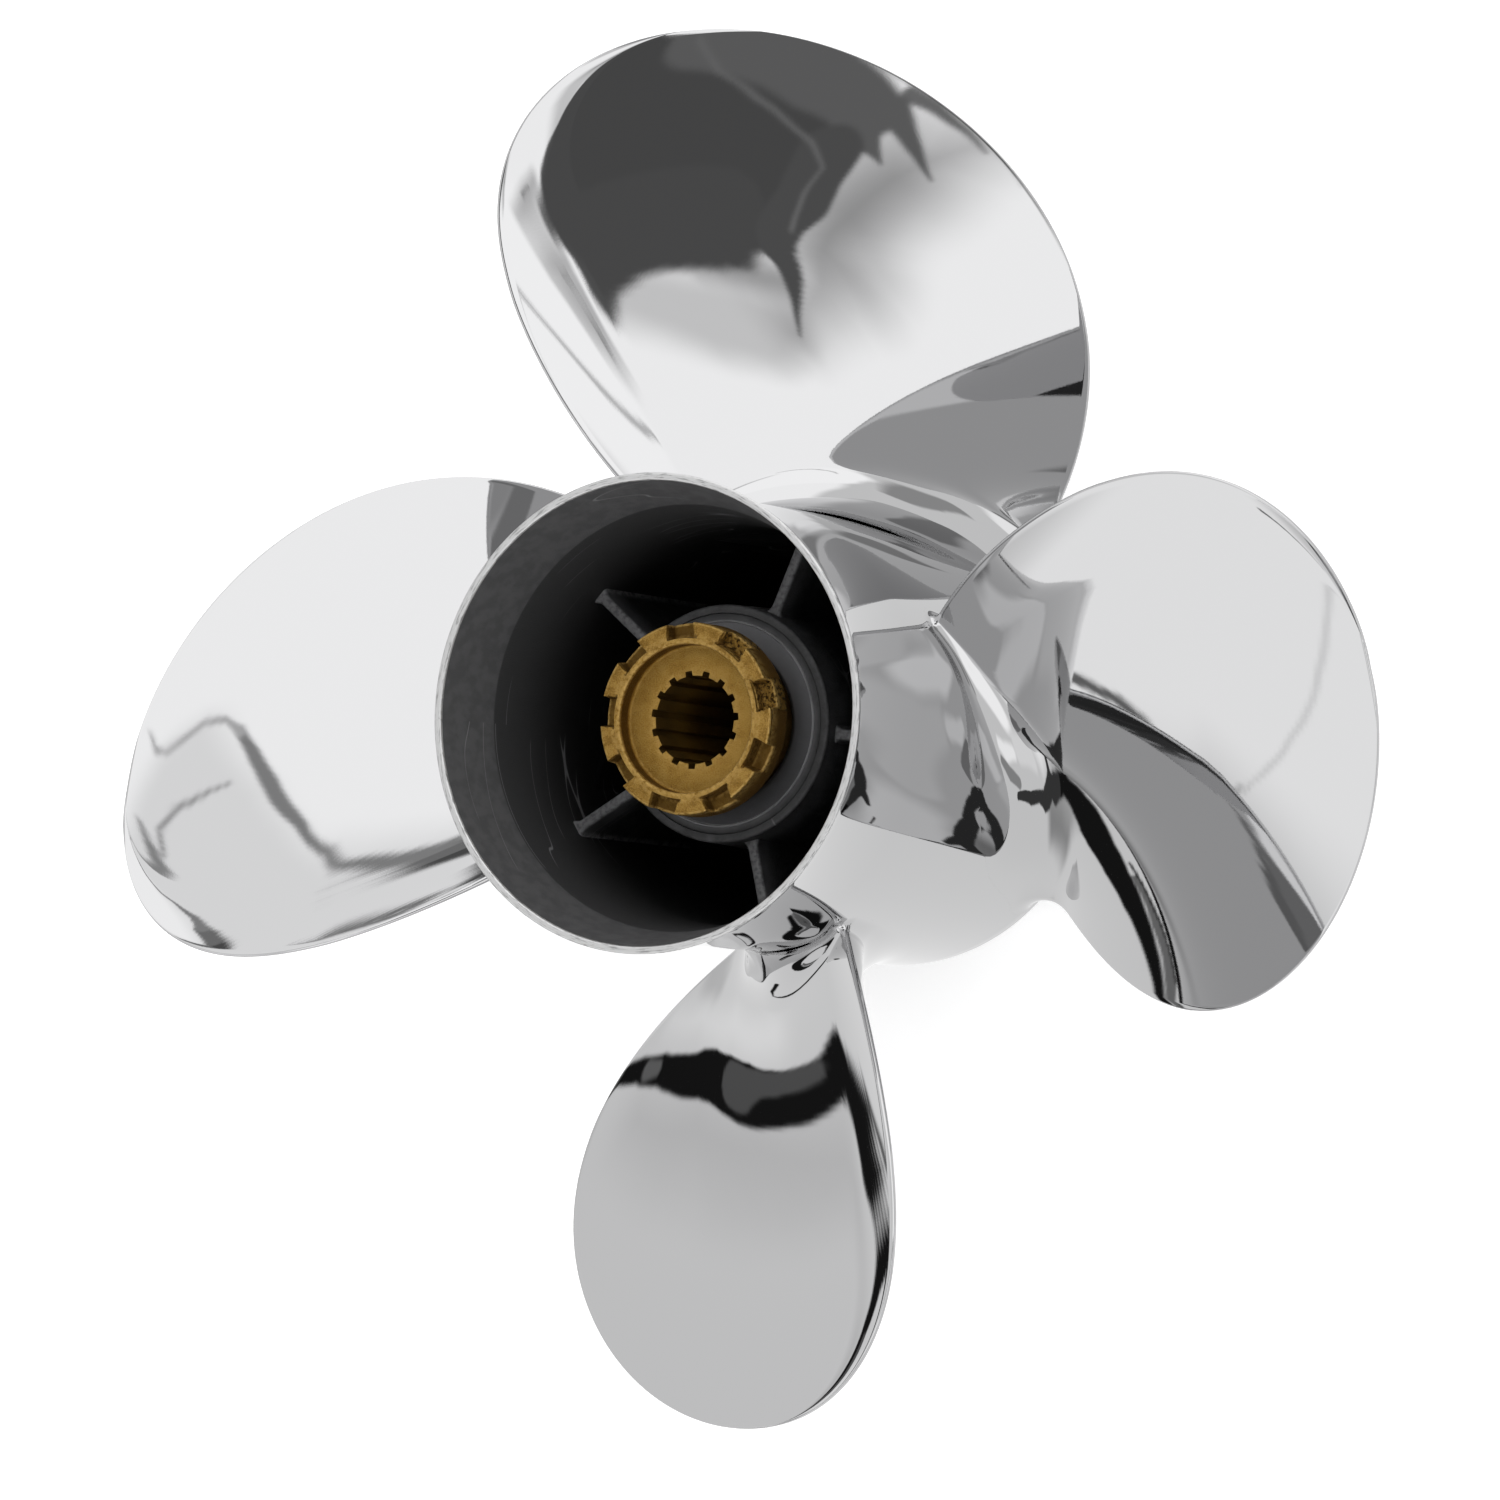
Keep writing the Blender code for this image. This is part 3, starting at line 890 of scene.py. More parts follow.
@dataclass(frozen=True)
class BlackPaint(Finish):
    """Matte black paint on rough cast steel: blotchy dust with painted light near the mouth, painted shade
    lower down, and pale grey edges that are partly scuffs and partly painted highlight.
    """

    rib_top: float
    hub_top: float
    # Painted shade of the paint below the ribs' tops.
    depth_shade: Colour = (0.012, 0.012, 0.012)
    dust_and_painted_light: Shades = ((0.05, 0.05, 0.052), (0.07, 0.07, 0.073))
    hub_end: Colour = (0.032, 0.032, 0.033)
    wear_and_highlight_colour: Colour = (0.2, 0.2, 0.205)
    scratch: Colour = (0.16, 0.16, 0.165)
    grain_scale: float = 1800.0
    wear_and_highlight_amount: float = 0.8
    scratch_amount: float = 0.6
    roughness: Pair = (0.5, 0.62)
    relief: Pair = (0.5, 0.3 * MM)

    def dress(self, work: FinishWiring) -> None:
        """Wire the finish up: painted shade below the ribs' tops, dust with painted light above, then the
        clean end, the pale edges and scratches.

        Args:
            work: Wiring of the material.
        """
        grain = work.effect(Effect.GRAIN, Scale=self.grain_scale)
        wear_and_highlight = work.effect(Effect.WEAR_AND_HIGHLIGHT, Amount=self.wear_and_highlight_amount)["Mask"]
        scratched = work.effect(Effect.SCRATCHES, Amount=self.scratch_amount)["Mask"]
        # The upper paint is blotchy dust, lighter as painted light near the mouth; below the ribs' tops it
        # turns to painted shade.
        dust_and_painted_light = work.blend(grain["Blotch"], *self.dust_and_painted_light)
        coat = work.blend(work.past(work.height, self.rib_top, -12, -1), self.depth_shade, dust_and_painted_light)
        coat = work.blend(work.past(work.height, self.hub_top, -1.5, -0.5), coat, self.hub_end)
        # Pale edges: scuffs on the crests, partly painted highlight, and a painted highlight where the ribs
        # meet the bore wall.
        coat = work.blend(wear_and_highlight, coat, self.wear_and_highlight_colour)
        work.fill(work.shader, Base_Color=work.blend(scratched, coat, self.scratch),
                  Roughness=work.between(grain["Blotch"], self.roughness))
        work.bump(grain["Height"], self.relief)


@dataclass(frozen=True)
class MouldedRubber(Finish):
    """Matte dark rubber with a fine moulded texture, lighter on its +Y side as painted light."""

    ridge_radius: float
    inner_radius: float
    clean: Shades = ((0.05, 0.05, 0.053), (0.062, 0.062, 0.066))
    # Painted light: the tone of the rubber's lit side.
    dust_and_painted_light: Colour = (0.15, 0.15, 0.156)
    outer: Colour = (0.034, 0.034, 0.035)
    inner: Colour = (0.03, 0.03, 0.031)
    # Painted highlight on the ridge.
    wear_and_highlight_colour: Colour = (0.36, 0.36, 0.37)
    highlight_break_scale: float = 60.0
    grain_scale: float = 3200.0
    painted_light_reach: Pair = (-26, 26)
    roughness: Pair = (0.62, 0.75)
    relief: Pair = (0.35, 0.2 * MM)

    def dress(self, work: FinishWiring) -> None:
        """Wire the finish up: painted light from one side, darker edges with painted shade at the bore, and
        a painted highlight line on the ridge.

        Args:
            work: Wiring of the material.
        """
        grain = work.effect(Effect.GRAIN, Scale=self.grain_scale)
        clean = work.blend(grain["Blotch"], *self.clean)
        # Painted light: lighter towards +Y.
        base = work.blend(work.past(work.y, 0.0, *self.painted_light_reach), clean, self.dust_and_painted_light)
        base = work.blend(work.past(work.radius, self.ridge_radius, -0.1, 0.1), base, self.outer)
        # Painted shade: darker at the bore, under the sleeve's flange.
        base = work.blend(work.past(work.radius, self.inner_radius, 0.4, -0.2), base, self.inner)
        # Painted highlight: a pale broken line along the ridge.
        faded = work.window(work.noise(work.place, self.highlight_break_scale, detail=2.0), 0.3, 0.6, 0.5, 1.0)
        line = work.product(work.attribute("wear_and_highlight_marks"), faded)
        work.fill(work.shader, Base_Color=work.blend(line, base, self.wear_and_highlight_colour),
                  Roughness=work.between(grain["Blotch"], self.roughness))
        work.bump(grain["Height"], self.relief)


@dataclass(frozen=True)
class CastBrass(Finish):
    """Grainy cast brass, browned where nothing rubs it and bright along the edges of its tabs."""

    top: float
    recess_floor: float
    recess_radius: float
    notch_radius: float
    flange_radius: float
    rough_notches: tuple[float, ...]
    notch_half_angle: float
    bore_start: float = 13.7 * MM
    plain: Shades = ((0.215, 0.116, 0.022), (0.255, 0.14, 0.028))
    floor: Colour = (0.3, 0.172, 0.036)
    speckle: Colour = (0.4, 0.25, 0.065)
    pit: Colour = (0.12, 0.065, 0.013)
    brown: Shades = ((0.11, 0.058, 0.011), (0.135, 0.073, 0.014))
    # Painted shade of the flange's side.
    flange_side_shade: Colour = (0.17, 0.088, 0.017)
    heap: Shades = ((0.05, 0.028, 0.007), (0.27, 0.155, 0.033))
    wear_and_highlight_colour: Colour = (0.5, 0.32, 0.1)
    # Painted shade of the bore, darkest at its aft mouth.
    bore: Shades = ((0.13, 0.07, 0.011), (0.05, 0.027, 0.005))
    speckle_share: float = 0.7
    pit_share: float = 0.5
    grain_scale: float = 2600.0
    heap_scale: float = 900.0
    heap_height: float = 3.0
    specular: float = 0.1
    metallic: Pair = (0.85, 0.3)
    roughness: Pair = (0.5, 0.3)
    relief: Pair = (0.8, 0.5 * MM)

    def in_rough_notch(self, work: FinishWiring) -> Socket:
        """Mark the notches whose floors are left rough.

        Args:
            work: Wiring of the material.

        Returns:
            The mask.
        """
        mask: object = 0.0
        for angle in self.rough_notches:
            offset = work.math("ABSOLUTE", work.math("SUBTRACT", work.turn, angle))
            near = work.window(offset, self.notch_half_angle, self.notch_half_angle * 0.9)
            mask = work.math("MAXIMUM", mask, near)
        return mask

    def dress(self, work: FinishWiring) -> None:
        """Wire the finish up: grainy brass, browned and scuffed by where it lies on the sleeve, with painted
        shade on the flange's side and at the bore's mouth.

        Args:
            work: Wiring of the material.
        """
        radius, height, floor = work.radius, work.height, self.recess_floor
        grain = work.effect(Effect.GRAIN, Scale=self.grain_scale)
        wear_and_highlight = work.effect(Effect.WEAR_AND_HIGHLIGHT, Amount=1.0)["Mask"]
        below_face = work.past(height, self.top, -0.7, -1.3)
        browned = work.product(below_face, work.past(radius, self.notch_radius, -0.4, -0.1))
        wall = work.product(work.past(radius, self.recess_radius, -0.8, -0.3),
                            work.past(height, floor, 0.4, 1.2), below_face)
        # Painted shade: the flange's side is darker and duller.
        side = work.product(work.past(radius, self.flange_radius, -0.5, -0.2), below_face)
        rough = work.product(self.in_rough_notch(work), browned)
        # Painted shade: the splined bore is darker towards its aft mouth.
        depth_shade = work.product(work.past(radius, self.bore_start, 0.0, -0.6),
                            work.past(height, floor, -0.05, -0.3))
        ragged = work.noise(work.place, self.heap_scale, detail=2.0, roughness=0.7)
        speckled = work.product(work.window(grain["Height"], 0.7, 0.95), self.speckle_share)
        pitted = work.product(work.window(grain["Height"], 0.7, 0.55), self.pit_share)
        heap = work.blend(work.window(ragged, 0.44, 0.5), *self.heap)
        bore = work.blend(work.past(height, floor, -16, -5), *self.bore)
        base = work.blend(grain["Blotch"], *self.plain)
        for mask, colour in (
            (work.past(height, floor, 0.8, 0.2), self.floor),
            (speckled, self.speckle),
            (pitted, self.pit),
            (work.math("MAXIMUM", browned, wall), work.blend(grain["Blotch"], *self.brown)),
            (side, self.flange_side_shade),
            (rough, heap),
            (wear_and_highlight, self.wear_and_highlight_colour),
            (depth_shade, bore),
        ):
            base = work.blend(mask, base, colour)
        dull = work.math("MAXIMUM", depth_shade, side)
        work.fill(work.shader, Base_Color=base, Specular_IOR_Level=self.specular,
                  Metallic=work.between(dull, self.metallic),
                  Roughness=work.between(wear_and_highlight, self.roughness))
        heaped = work.product(rough, ragged)
        work.bump(work.math("MULTIPLY_ADD", heaped, self.heap_height, grain["Height"]), self.relief)


class SubAssembly:
    """Base of the sub-assemblies: each is one piece of the scene, in one finish."""

    name: ClassVar[str]
    slot: ClassVar[Slot]

    def nodes(self) -> list[str]:
        """The CAD nodes that the piece replaces."""
        raise NotImplementedError

    def finish(self) -> Finish:
        """The finish of the piece."""
        raise NotImplementedError

    def meshes(self, material: Material) -> list[Mesh]:
        """The meshes of the piece, in their places."""
        raise NotImplementedError

    def build(self, groups: dict[Effect, bpy.types.NodeTree]) -> bpy.types.Object:
        """Build and dress the piece, attach it to its body and hide the CAD parts that it stands for.

        Args:
            groups: The shared shader groups.

        Returns:
            The finished piece.
        """
        material = self.finish().material(self.slot, groups)
        piece = joined(self.name, self.meshes(material), material)
        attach(piece, BODY)
        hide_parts(*self.nodes())
        return piece


@dataclass
class PolishedCasting(SubAssembly):
    """The barrel and its four blades, one polished casting."""

    name: ClassVar[str] = "polished_casting"
    slot: ClassVar[Slot] = Slot.STEEL
    barrel: BarrelForm
    blade: Blade
    blade_count: int = 4
    first_angle: float = math.radians(90.9)
    columns: int = 240
    outside_rows: int = 44
    cone_rows: int = 8
    step_ease: Pair = (0.15 * MM, 1 * MM)

    def nodes(self) -> list[str]:
        """The barrel and the blades."""
        return ["barrel"] + [f"blade_{number + 1}" for number in range(self.blade_count)]

    def finish(self) -> Finish:
        """Steel outside, paint inside."""
        return PolishedSteel(self.barrel)

    def profile(self) -> list[Pair]:
        """Lay out the barrel's closed profile, down its outside and up its bore.

        Returns:
            Radius and height pairs.
        """
        form, lip, top = self.barrel, self.barrel.lip_round, self.barrel.length
        step = (form.step_radius, top - form.step_depth)
        return [
            *arc((form.rim_radius - lip, top - lip), lip, 90, 0)[:-1],
            *((float(form.outside(z)), z) for z in np.linspace(top - lip, lip, self.outside_rows)),
            *arc((form.front_radius - lip, lip), lip, 0, -90)[1:],
            *arc((form.front_bore_radius + lip, lip), lip, -90, -180),
            (form.bore_radius, form.bore_front),
            (form.bore_radius, top - form.bore_aft_depth),
            (step[0] - self.step_ease[0], step[1] - self.step_ease[1]),
            step,
            *span(step, (form.mouth_radius, top - lip), self.cone_rows),
            *arc((form.mouth_radius + lip, top - lip), lip, 180, 90),
        ]

    def meshes(self, material: Material) -> list[Mesh]:
        """Skin the barrel and one blade, and copy the blade round.

        Args:
            material: Material of the copies.

        Returns:
            The barrel and the ring of blades.
        """
        barrel = skinned("barrel_skin", 40, *turned([(self.profile(), 0.0)], round_angles(self.columns)))
        blade = skinned("blade_skin", 60, self.blade.loops(), closed=False)
        return [barrel, ring_of_copies("blades", blade, self.blade_count, self.first_angle, material)]


@dataclass
class PaintedCore(SubAssembly):
    """The inner hub and the ribs that carry it, painted black."""

    name: ClassVar[str] = "painted_core"
    slot: ClassVar[Slot] = Slot.PAINT
    barrel: BarrelForm
    hub_top: float
    hub_bottom: float
    aft_radius: float = 31.3 * MM
    front_radius: float = 33.5 * MM
    bore: float = 29.1 * MM
    edge_round: float = 0.7 * MM
    edge_wear_and_highlight: float = 0.12
    hub_rows: int = 10
    columns: int = 160
    rib_count: int = 5
    first_angle: float = math.radians(66)
    rib_thickness: float = 3 * MM
    rib_round: float = 1.1 * MM
    rib_top_depth: float = 47 * MM
    rib_bottom: float = 40 * MM
    rib_overlap: Pair = (0.4 * MM, 0.3 * MM)
    rib_rows: int = 25
    flare_width: float = 1.3 * MM
    flare_reach: float = 2.6 * MM
    # Marks on the crest, partly scuffs and partly painted highlight, and at the foot a painted highlight
    # along the rib's junction with the bore wall.
    crest_wear_and_highlight: tuple[float, ...] = (0.2, 0.7, 0.7, 0.5)
    foot_highlight: float = 0.6
    foot_share: float = 0.93

    def nodes(self) -> list[str]:
        """The inner hub and the ribs."""
        return ["inner_hub"] + [f"rib_{number + 1}" for number in range(self.rib_count)]

    def finish(self) -> Finish:
        """Paint that is black below the ribs' tops."""
        return BlackPaint(self.barrel.length - self.rib_top_depth, self.hub_top)

    def hub_legs(self) -> list[tuple[list[Pair], float]]:
        """Lay out the inner hub's closed profile.

        Returns:
            Its aft edge, which is a little scuffed, and the rest.
        """
        top, low, rounding = self.hub_top, self.hub_bottom, self.edge_round
        edge = arc((self.aft_radius - rounding, top - rounding), rounding, 90, 0)
        rest = span(edge[-1], (self.front_radius, low + rounding), self.hub_rows)
        rest += arc((self.front_radius - rounding, low + rounding), rounding, 0, -90)
        return [(edge, self.edge_wear_and_highlight), (rest + [(self.bore, low), (self.bore, top)], 0.0)]

    def rib_loops(self) -> tuple[Array, Array]:
        """Lay out one rib from the inner hub to the barrel's bore, flaring at both ends.

        Returns:
            Loops as rows, columns and three coordinates, and the mark of each of their points: crest scuffs
            with painted highlight, and a painted highlight at the foot.
        """
        top, low = self.barrel.length - self.rib_top_depth, self.rib_bottom
        inner = self.aft_radius - self.rib_overlap[0]
        outer = self.barrel.bore_radius + self.rib_overlap[1]
        half = self.rib_thickness / 2
        rounding = min(half, self.rib_round)
        loops, marks = [], []
        for share in np.linspace(0, 1, self.rib_rows):
            to_end = min(share, 1 - share) * (outer - inner)
            wide = half + self.flare_width * max(1 - to_end / self.flare_reach, 0.0) ** 2
            crest = arc((wide - rounding, top - rounding), rounding, 0, 90)
            crest += [(-y, z) for y, z in reversed(crest)]
            foot = [(-wide, low + rounding), (-wide, low), (wide, low), (wide, low + rounding)]
            loops.append([(inner + (outer - inner) * share, y, z) for y, z in crest + foot])
            # Painted highlight along the junction with the bore wall, past the foot share.
            wear_and_highlight = float(share > self.foot_share) * self.foot_highlight
            side = [wear_and_highlight, max(wear_and_highlight, self.crest_wear_and_highlight[0]), *self.crest_wear_and_highlight[1:]]
            marks.append(side + side[::-1] + [wear_and_highlight] * len(foot))
        return np.array(loops), np.array(marks)

    def meshes(self, material: Material) -> list[Mesh]:
        """Skin the inner hub and one rib, and copy the rib round.

        Args:
            material: Material of the copies.

        Returns:
            The hub and the ring of ribs.
        """
        hub = skinned("hub_skin", 40, *turned(self.hub_legs(), round_angles(self.columns)))
        rib = skinned("rib_skin", 40, *self.rib_loops(), closed=False)
        return [hub, ring_of_copies("ribs", rib, self.rib_count, self.first_angle, material)]


@dataclass
class RubberBushing(SubAssembly):
    """The rubber between the inner hub and the sleeve."""

    name: ClassVar[str] = "rubber_hub_bushing"
    slot: ClassVar[Slot] = Slot.RUBBER
    top: float
    bottom: float
    radius: float = 29.0 * MM
    edge_round: float = 0.5 * MM
    bore: float = 19.9 * MM
    bore_chamfer: float = 1.3 * MM
    ridge_radius: float = 27.2 * MM
    ridge_height: float = 0.6 * MM
    ridge_width: float = 0.7 * MM
    # Painted highlight marks on the ridge and its outer foot.
    ridge_highlight: Pair = (0.9, 0.2)
    ridge_rows: int = 6
    face_rows: int = 5
    face_margins: Pair = (0.6 * MM, 0.1 * MM)
    columns: int = 160

    def nodes(self) -> list[str]:
        """The rubber alone."""
        return ["rubber_bushing"]

    def finish(self) -> Finish:
        """Rubber that is darker outside the ridge, and darker at the bore as painted shade."""
        return MouldedRubber(self.ridge_radius, self.bore + self.bore_chamfer)

    def legs(self) -> list[tuple[list[Pair], float]]:
        """Lay out the closed profile, from the outer edge round by the bore to the ridge.

        Returns:
            The plain body, the ridge with its painted highlight mark, and its outer foot, each with its
            mark.
        """
        top, bottom, rounding = self.top, self.bottom, self.edge_round
        inner = self.ridge_radius - self.ridge_width
        face_end = (inner - self.face_margins[0], top)
        face_start = (self.bore + self.bore_chamfer, top)
        body = [
            *arc((self.radius - rounding, top - rounding), rounding, 90, 0),
            (self.radius, bottom + rounding),
            (self.radius - rounding, bottom),
            (self.bore + rounding, bottom),
            (self.bore, bottom + rounding),
            (self.bore, top - self.bore_chamfer),
            face_start,
            *span(face_start, face_end, self.face_rows),
            face_end,
            (inner - self.face_margins[1], top),
        ]
        ridge = [(inner + self.ridge_width * share, top + self.ridge_height * math.sin(math.pi * share))
                 for share in np.linspace(0, 1, self.ridge_rows, endpoint=False)]
        return [(body, 0.0), (ridge, self.ridge_highlight[0]), ([(self.ridge_radius, top)], self.ridge_highlight[1])]

    def meshes(self, material: Material) -> list[Mesh]:
        """The turned rubber."""
        return [skinned("rubber_skin", 50, *turned(self.legs(), round_angles(self.columns)))]


@dataclass
class SplineSleeve(SubAssembly):
    """The brass sleeve: tabbed flange, recessed face and splined bore."""

    name: ClassVar[str] = "brass_spline_sleeve"
    slot: ClassVar[Slot] = Slot.BRASS
    top: float
    bottom: float
    flange_radius: float = 25.2 * MM
    flange_thickness: float = 9.5 * MM
    body_radius: float = 19.6 * MM
    body_round: float = 0.8 * MM
    edge_round: float = 0.5 * MM
    recess_radius: float = 19.4 * MM
    recess_depth: float = 5.3 * MM
    floor_start: float = 14 * MM
    floor_round: float = 0.35 * MM
    tab_count: int = 9
    tab_angle: float = math.radians(74)
    notch_radius: float = 21.2 * MM
    notch_width: float = 7.6 * MM
    notch_depth: float = 4 * MM
    wall_round: float = 0.45 * MM
    wall_columns: tuple[float, ...] = (0.88, 0.94, 1.0, 1.06, 1.12, 1.2)
    wall_rows: tuple[float, ...] = (-0.6 * MM, -0.25 * MM, -0.12 * MM, 0.0, 0.12 * MM, 0.25 * MM, 0.6 * MM)
    rough_floors: tuple[int, ...] = (0, 1)
    spline_count: int = 15
    spline_angle: float = math.radians(98.4)
    major_radius: float = 12.7 * MM
    minor_radius: float = 11.4 * MM
    bore_chamfer: float = 0.6 * MM
    bore_lip: float = 0.5 * MM
    groove_share: float = 0.42
    groove_taper: float = 0.8
    flank_margin: float = 0.06
    columns: int = 120
    least_step: float = 0.002
    bore_rows: int = 8
    face_rows: int = 4
    mouth_wear: float = 0.5
    lip_wear: float = 0.8
    wall_wear: float = 0.45
    tab_wear: float = 0.1
    rim_wear: float = 0.9
    back_wear: float = 0.3

    def nodes(self) -> list[str]:
        """The sleeve alone."""
        return ["spline_sleeve"]

    def finish(self) -> Finish:
        """Work out where the sleeve's faces lie, for the finish that tells them apart.

        Returns:
            The brass finish.
        """
        pitch = math.tau / self.tab_count
        rough = tuple(self.tab_angle - pitch * (number + 0.5) for number in self.rough_floors)
        return CastBrass(top=self.top, recess_floor=self.top - self.recess_depth,
                         recess_radius=self.recess_radius, notch_radius=self.notch_radius,
                         flange_radius=self.flange_radius, rough_notches=rough,
                         notch_half_angle=self.notch_width / 2 / self.notch_radius)

    def angles(self) -> Array:
        """Angles of the columns, crowded at the notch walls and the spline flanks.

        Returns:
            The angles in order, none closer to the next than the least step.
        """
        notches = self.tab_angle + math.tau * (np.arange(self.tab_count) + 0.5) / self.tab_count
        walls = self.notch_width / 2 / self.flange_radius * np.array(self.wall_columns)
        grooves = self.spline_angle + math.tau * np.arange(self.spline_count) / self.spline_count
        inner, outer = self.groove_taper, 1.0
        flank = np.array([inner * (1 - self.flank_margin), inner, outer, outer + self.flank_margin])
        flanks = math.pi / self.spline_count * self.groove_share * flank
        lines = [round_angles(self.columns)]
        for middles, offsets in ((notches, walls), (grooves, flanks)):
            lines += [middle + side * offsets for middle in middles for side in (-1, 1)]
        found = np.unique(np.round(np.mod(np.concatenate(lines), math.tau), 5))
        return found[np.concatenate([[True], np.diff(found) > self.least_step])]

    def past_wall(self, distance: Array) -> Array:
        """How far a distance lies past a notch wall, from 0 to 1 across the wall's rounding."""
        return smooth_step((distance + self.wall_round / 2) / self.wall_round)

    def bore_radius(self, angle: Array) -> Array:
        """Radius of the splined bore.

        Args:
            angle: Angles of the columns.

        Returns:
            The radius at each angle.
        """
        pitch = math.tau / self.spline_count
        offset = np.abs(np.mod(angle - self.spline_angle + pitch / 2, pitch) - pitch / 2)
        root = pitch * self.groove_share / 2
        share = np.clip((root - offset) / (root * (1 - self.groove_taper)), 0.0, 1.0)
        return self.minor_radius + (self.major_radius - self.minor_radius) * share

    def face_height(self, angle: Array, radius: float) -> Array:
        """Height of the flange's aft face, with its notches.

        Args:
            angle: Angles of the columns.
            radius: Radius of the loop.

        Returns:
            The height at each angle.
        """
        pitch = math.tau / self.tab_count
        offset = np.mod(angle - self.tab_angle, pitch) - pitch / 2
        in_notch = 1 - self.past_wall(np.abs(np.sin(offset)) * radius - self.notch_width / 2)
        return self.top - self.notch_depth * in_notch * self.past_wall(radius - self.notch_radius)

    def legs(self, angle: Array) -> list[tuple[list[Pair], float]]:
        """Lay out the profile, from the bore's forward end over the aft face and round outside.

        Args:
            angle: Angles of the columns, which the radius of the bore and the tabs depend on.

        Returns:
            Runs of radius and height pairs, each with its scuff mark.
        """
        top, bottom, corner, well = self.top, self.bottom, self.edge_round, self.floor_round
        floor, back = top - self.recess_depth, top - self.flange_thickness
        bore, edge = self.bore_radius(angle), self.face_height(angle, self.flange_radius)
        wall, rim = self.recess_radius - well, self.flange_radius - corner
        neck = self.body_radius + self.body_round
        bore_run = floor - bottom - self.bore_lip
        side_run = back + corner - (edge - corner)
        floor_radii = np.linspace(self.floor_start, wall - 0.5 * MM, self.face_rows)
        wall_radii = [self.notch_radius + offset for offset in self.wall_rows]
        tab_radii = np.linspace(self.notch_radius + 1.2 * MM, self.flange_radius - 0.8 * MM, self.face_rows)
        return [
            ([(bore + self.bore_chamfer, bottom), (bore, bottom + self.bore_chamfer)], 0.0),
            ([(bore, bottom + 2 * MM)], 0.0),
            ([(bore, bottom + bore_run * share) for share in np.linspace(0.1, 1, self.bore_rows)], 0.0),
            ([(bore + 0.15 * MM, floor - 0.12 * MM)], self.mouth_wear),
            ([(bore + self.bore_lip, floor)], 0.4),
            ([(radius, floor) for radius in floor_radii], 0.0),
            ([(wall - 0.1 * MM, floor)], self.mouth_wear),
            (arc((wall, floor + well), well, -60, 0, 2), 0.0),
            ([(self.recess_radius, top - 1.2 * MM)], 0.0),
            (arc((self.recess_radius + corner, top - corner), corner, 180, 90, 3), self.lip_wear),
            ([(radius, self.face_height(angle, radius)) for radius in wall_radii], self.wall_wear),
            ([(radius, self.face_height(angle, radius)) for radius in tab_radii], self.tab_wear),
            (arc((rim, edge - corner), corner, 90, 0, 3), self.rim_wear),
            ([(self.flange_radius, edge - corner + side_run * share) for share in (0.5, 0.9, 1.0)], 0.0),
            (arc((rim, back + corner), corner, -30, -90, 2), self.back_wear),
            ([(neck, back)], 0.0),
            (arc((neck, back - self.body_round), self.body_round, 120, 180, 2), 0.0),
            ([(self.body_radius, bottom + 1 * MM), (self.body_radius - 0.8 * MM, bottom)], 0.0),
        ]

    def meshes(self, material: Material) -> list[Mesh]:
        """The skinned sleeve."""
        angle = self.angles()
        return [skinned("sleeve_skin", 45, *turned(self.legs(angle), angle))]


@dataclass(frozen=True)
class StudioCamera:
    """The photo's camera: a long lens, a little off the shaft axis.

    Its distance and its aim, which is measured from the middle of the aft rim, are in tip radii.
    """

    frame_width: int = 1500
    focal_pixels: float = 9899.0
    sensor: float = 36.0
    clip: Pair = (0.1, 200.0)
    distance: float = 14.11
    swing: float = 0.4867
    dip: float = -0.0662
    roll: float = 0.0067
    aim: tuple[float, float, float] = (0.0096, -0.0338, -0.3)

    def build(self, tip_radius: float, length: float) -> None:
        """Make the camera and look through it.

        Args:
            tip_radius: Unit of the camera's distances.
            length: Height of the aft rim.
        """
        back = Vector((math.sin(self.swing) * math.cos(self.dip), math.sin(self.dip),
                       math.cos(self.swing) * math.cos(self.dip)))
        right = Vector((0, 1, 0)).cross(back).normalized()
        up = back.cross(right)
        side = math.cos(self.roll) * right + math.sin(self.roll) * up
        top = math.cos(self.roll) * up - math.sin(self.roll) * right
        aim = Vector(self.aim) * tip_radius + Vector((0, 0, length))
        data = bpy.data.cameras.new("studio_camera")
        data.sensor_width = self.sensor
        data.lens = self.focal_pixels * self.sensor / self.frame_width
        data.clip_start, data.clip_end = self.clip
        camera = link("studio_camera", data)
        turn = Matrix((side, top, back)).transposed().to_4x4()
        camera.matrix_world = Matrix.Translation(aim + back * self.distance * tip_radius) @ turn
        bpy.context.scene.camera = camera


@dataclass(frozen=True)
class TentMark:
    """Something the light tent shows: a bright wall, a seam, the lens opening or the dark gap.

    The path holds places on the tent and half widths, all in degrees. A place gives how far it
    lies from straight overhead, along +X and along +Y.
    """

    path: tuple[tuple[float, float, float], ...]
    level: float
    soft: float = 1.0

    def distance(self, place: Array) -> Array:
        """How far each place lies outside the stroke.

        Args:
            place: Places in degrees from overhead.

        Returns:
            Distances, negative inside the stroke.
        """
        nearest = np.full(place.shape[:-1], np.inf)
        for start, end in zip(np.array(self.path)[:-1], np.array(self.path)[1:]):
            run = end[:2] - start[:2]
            share = np.clip((place - start[:2]) @ run / (run @ run), 0.0, 1.0)
            aside = np.linalg.norm(place - start[:2] - share[..., None] * run, axis=-1)
            nearest = np.minimum(nearest, aside - start[2] - (end[2] - start[2]) * share)
        return nearest


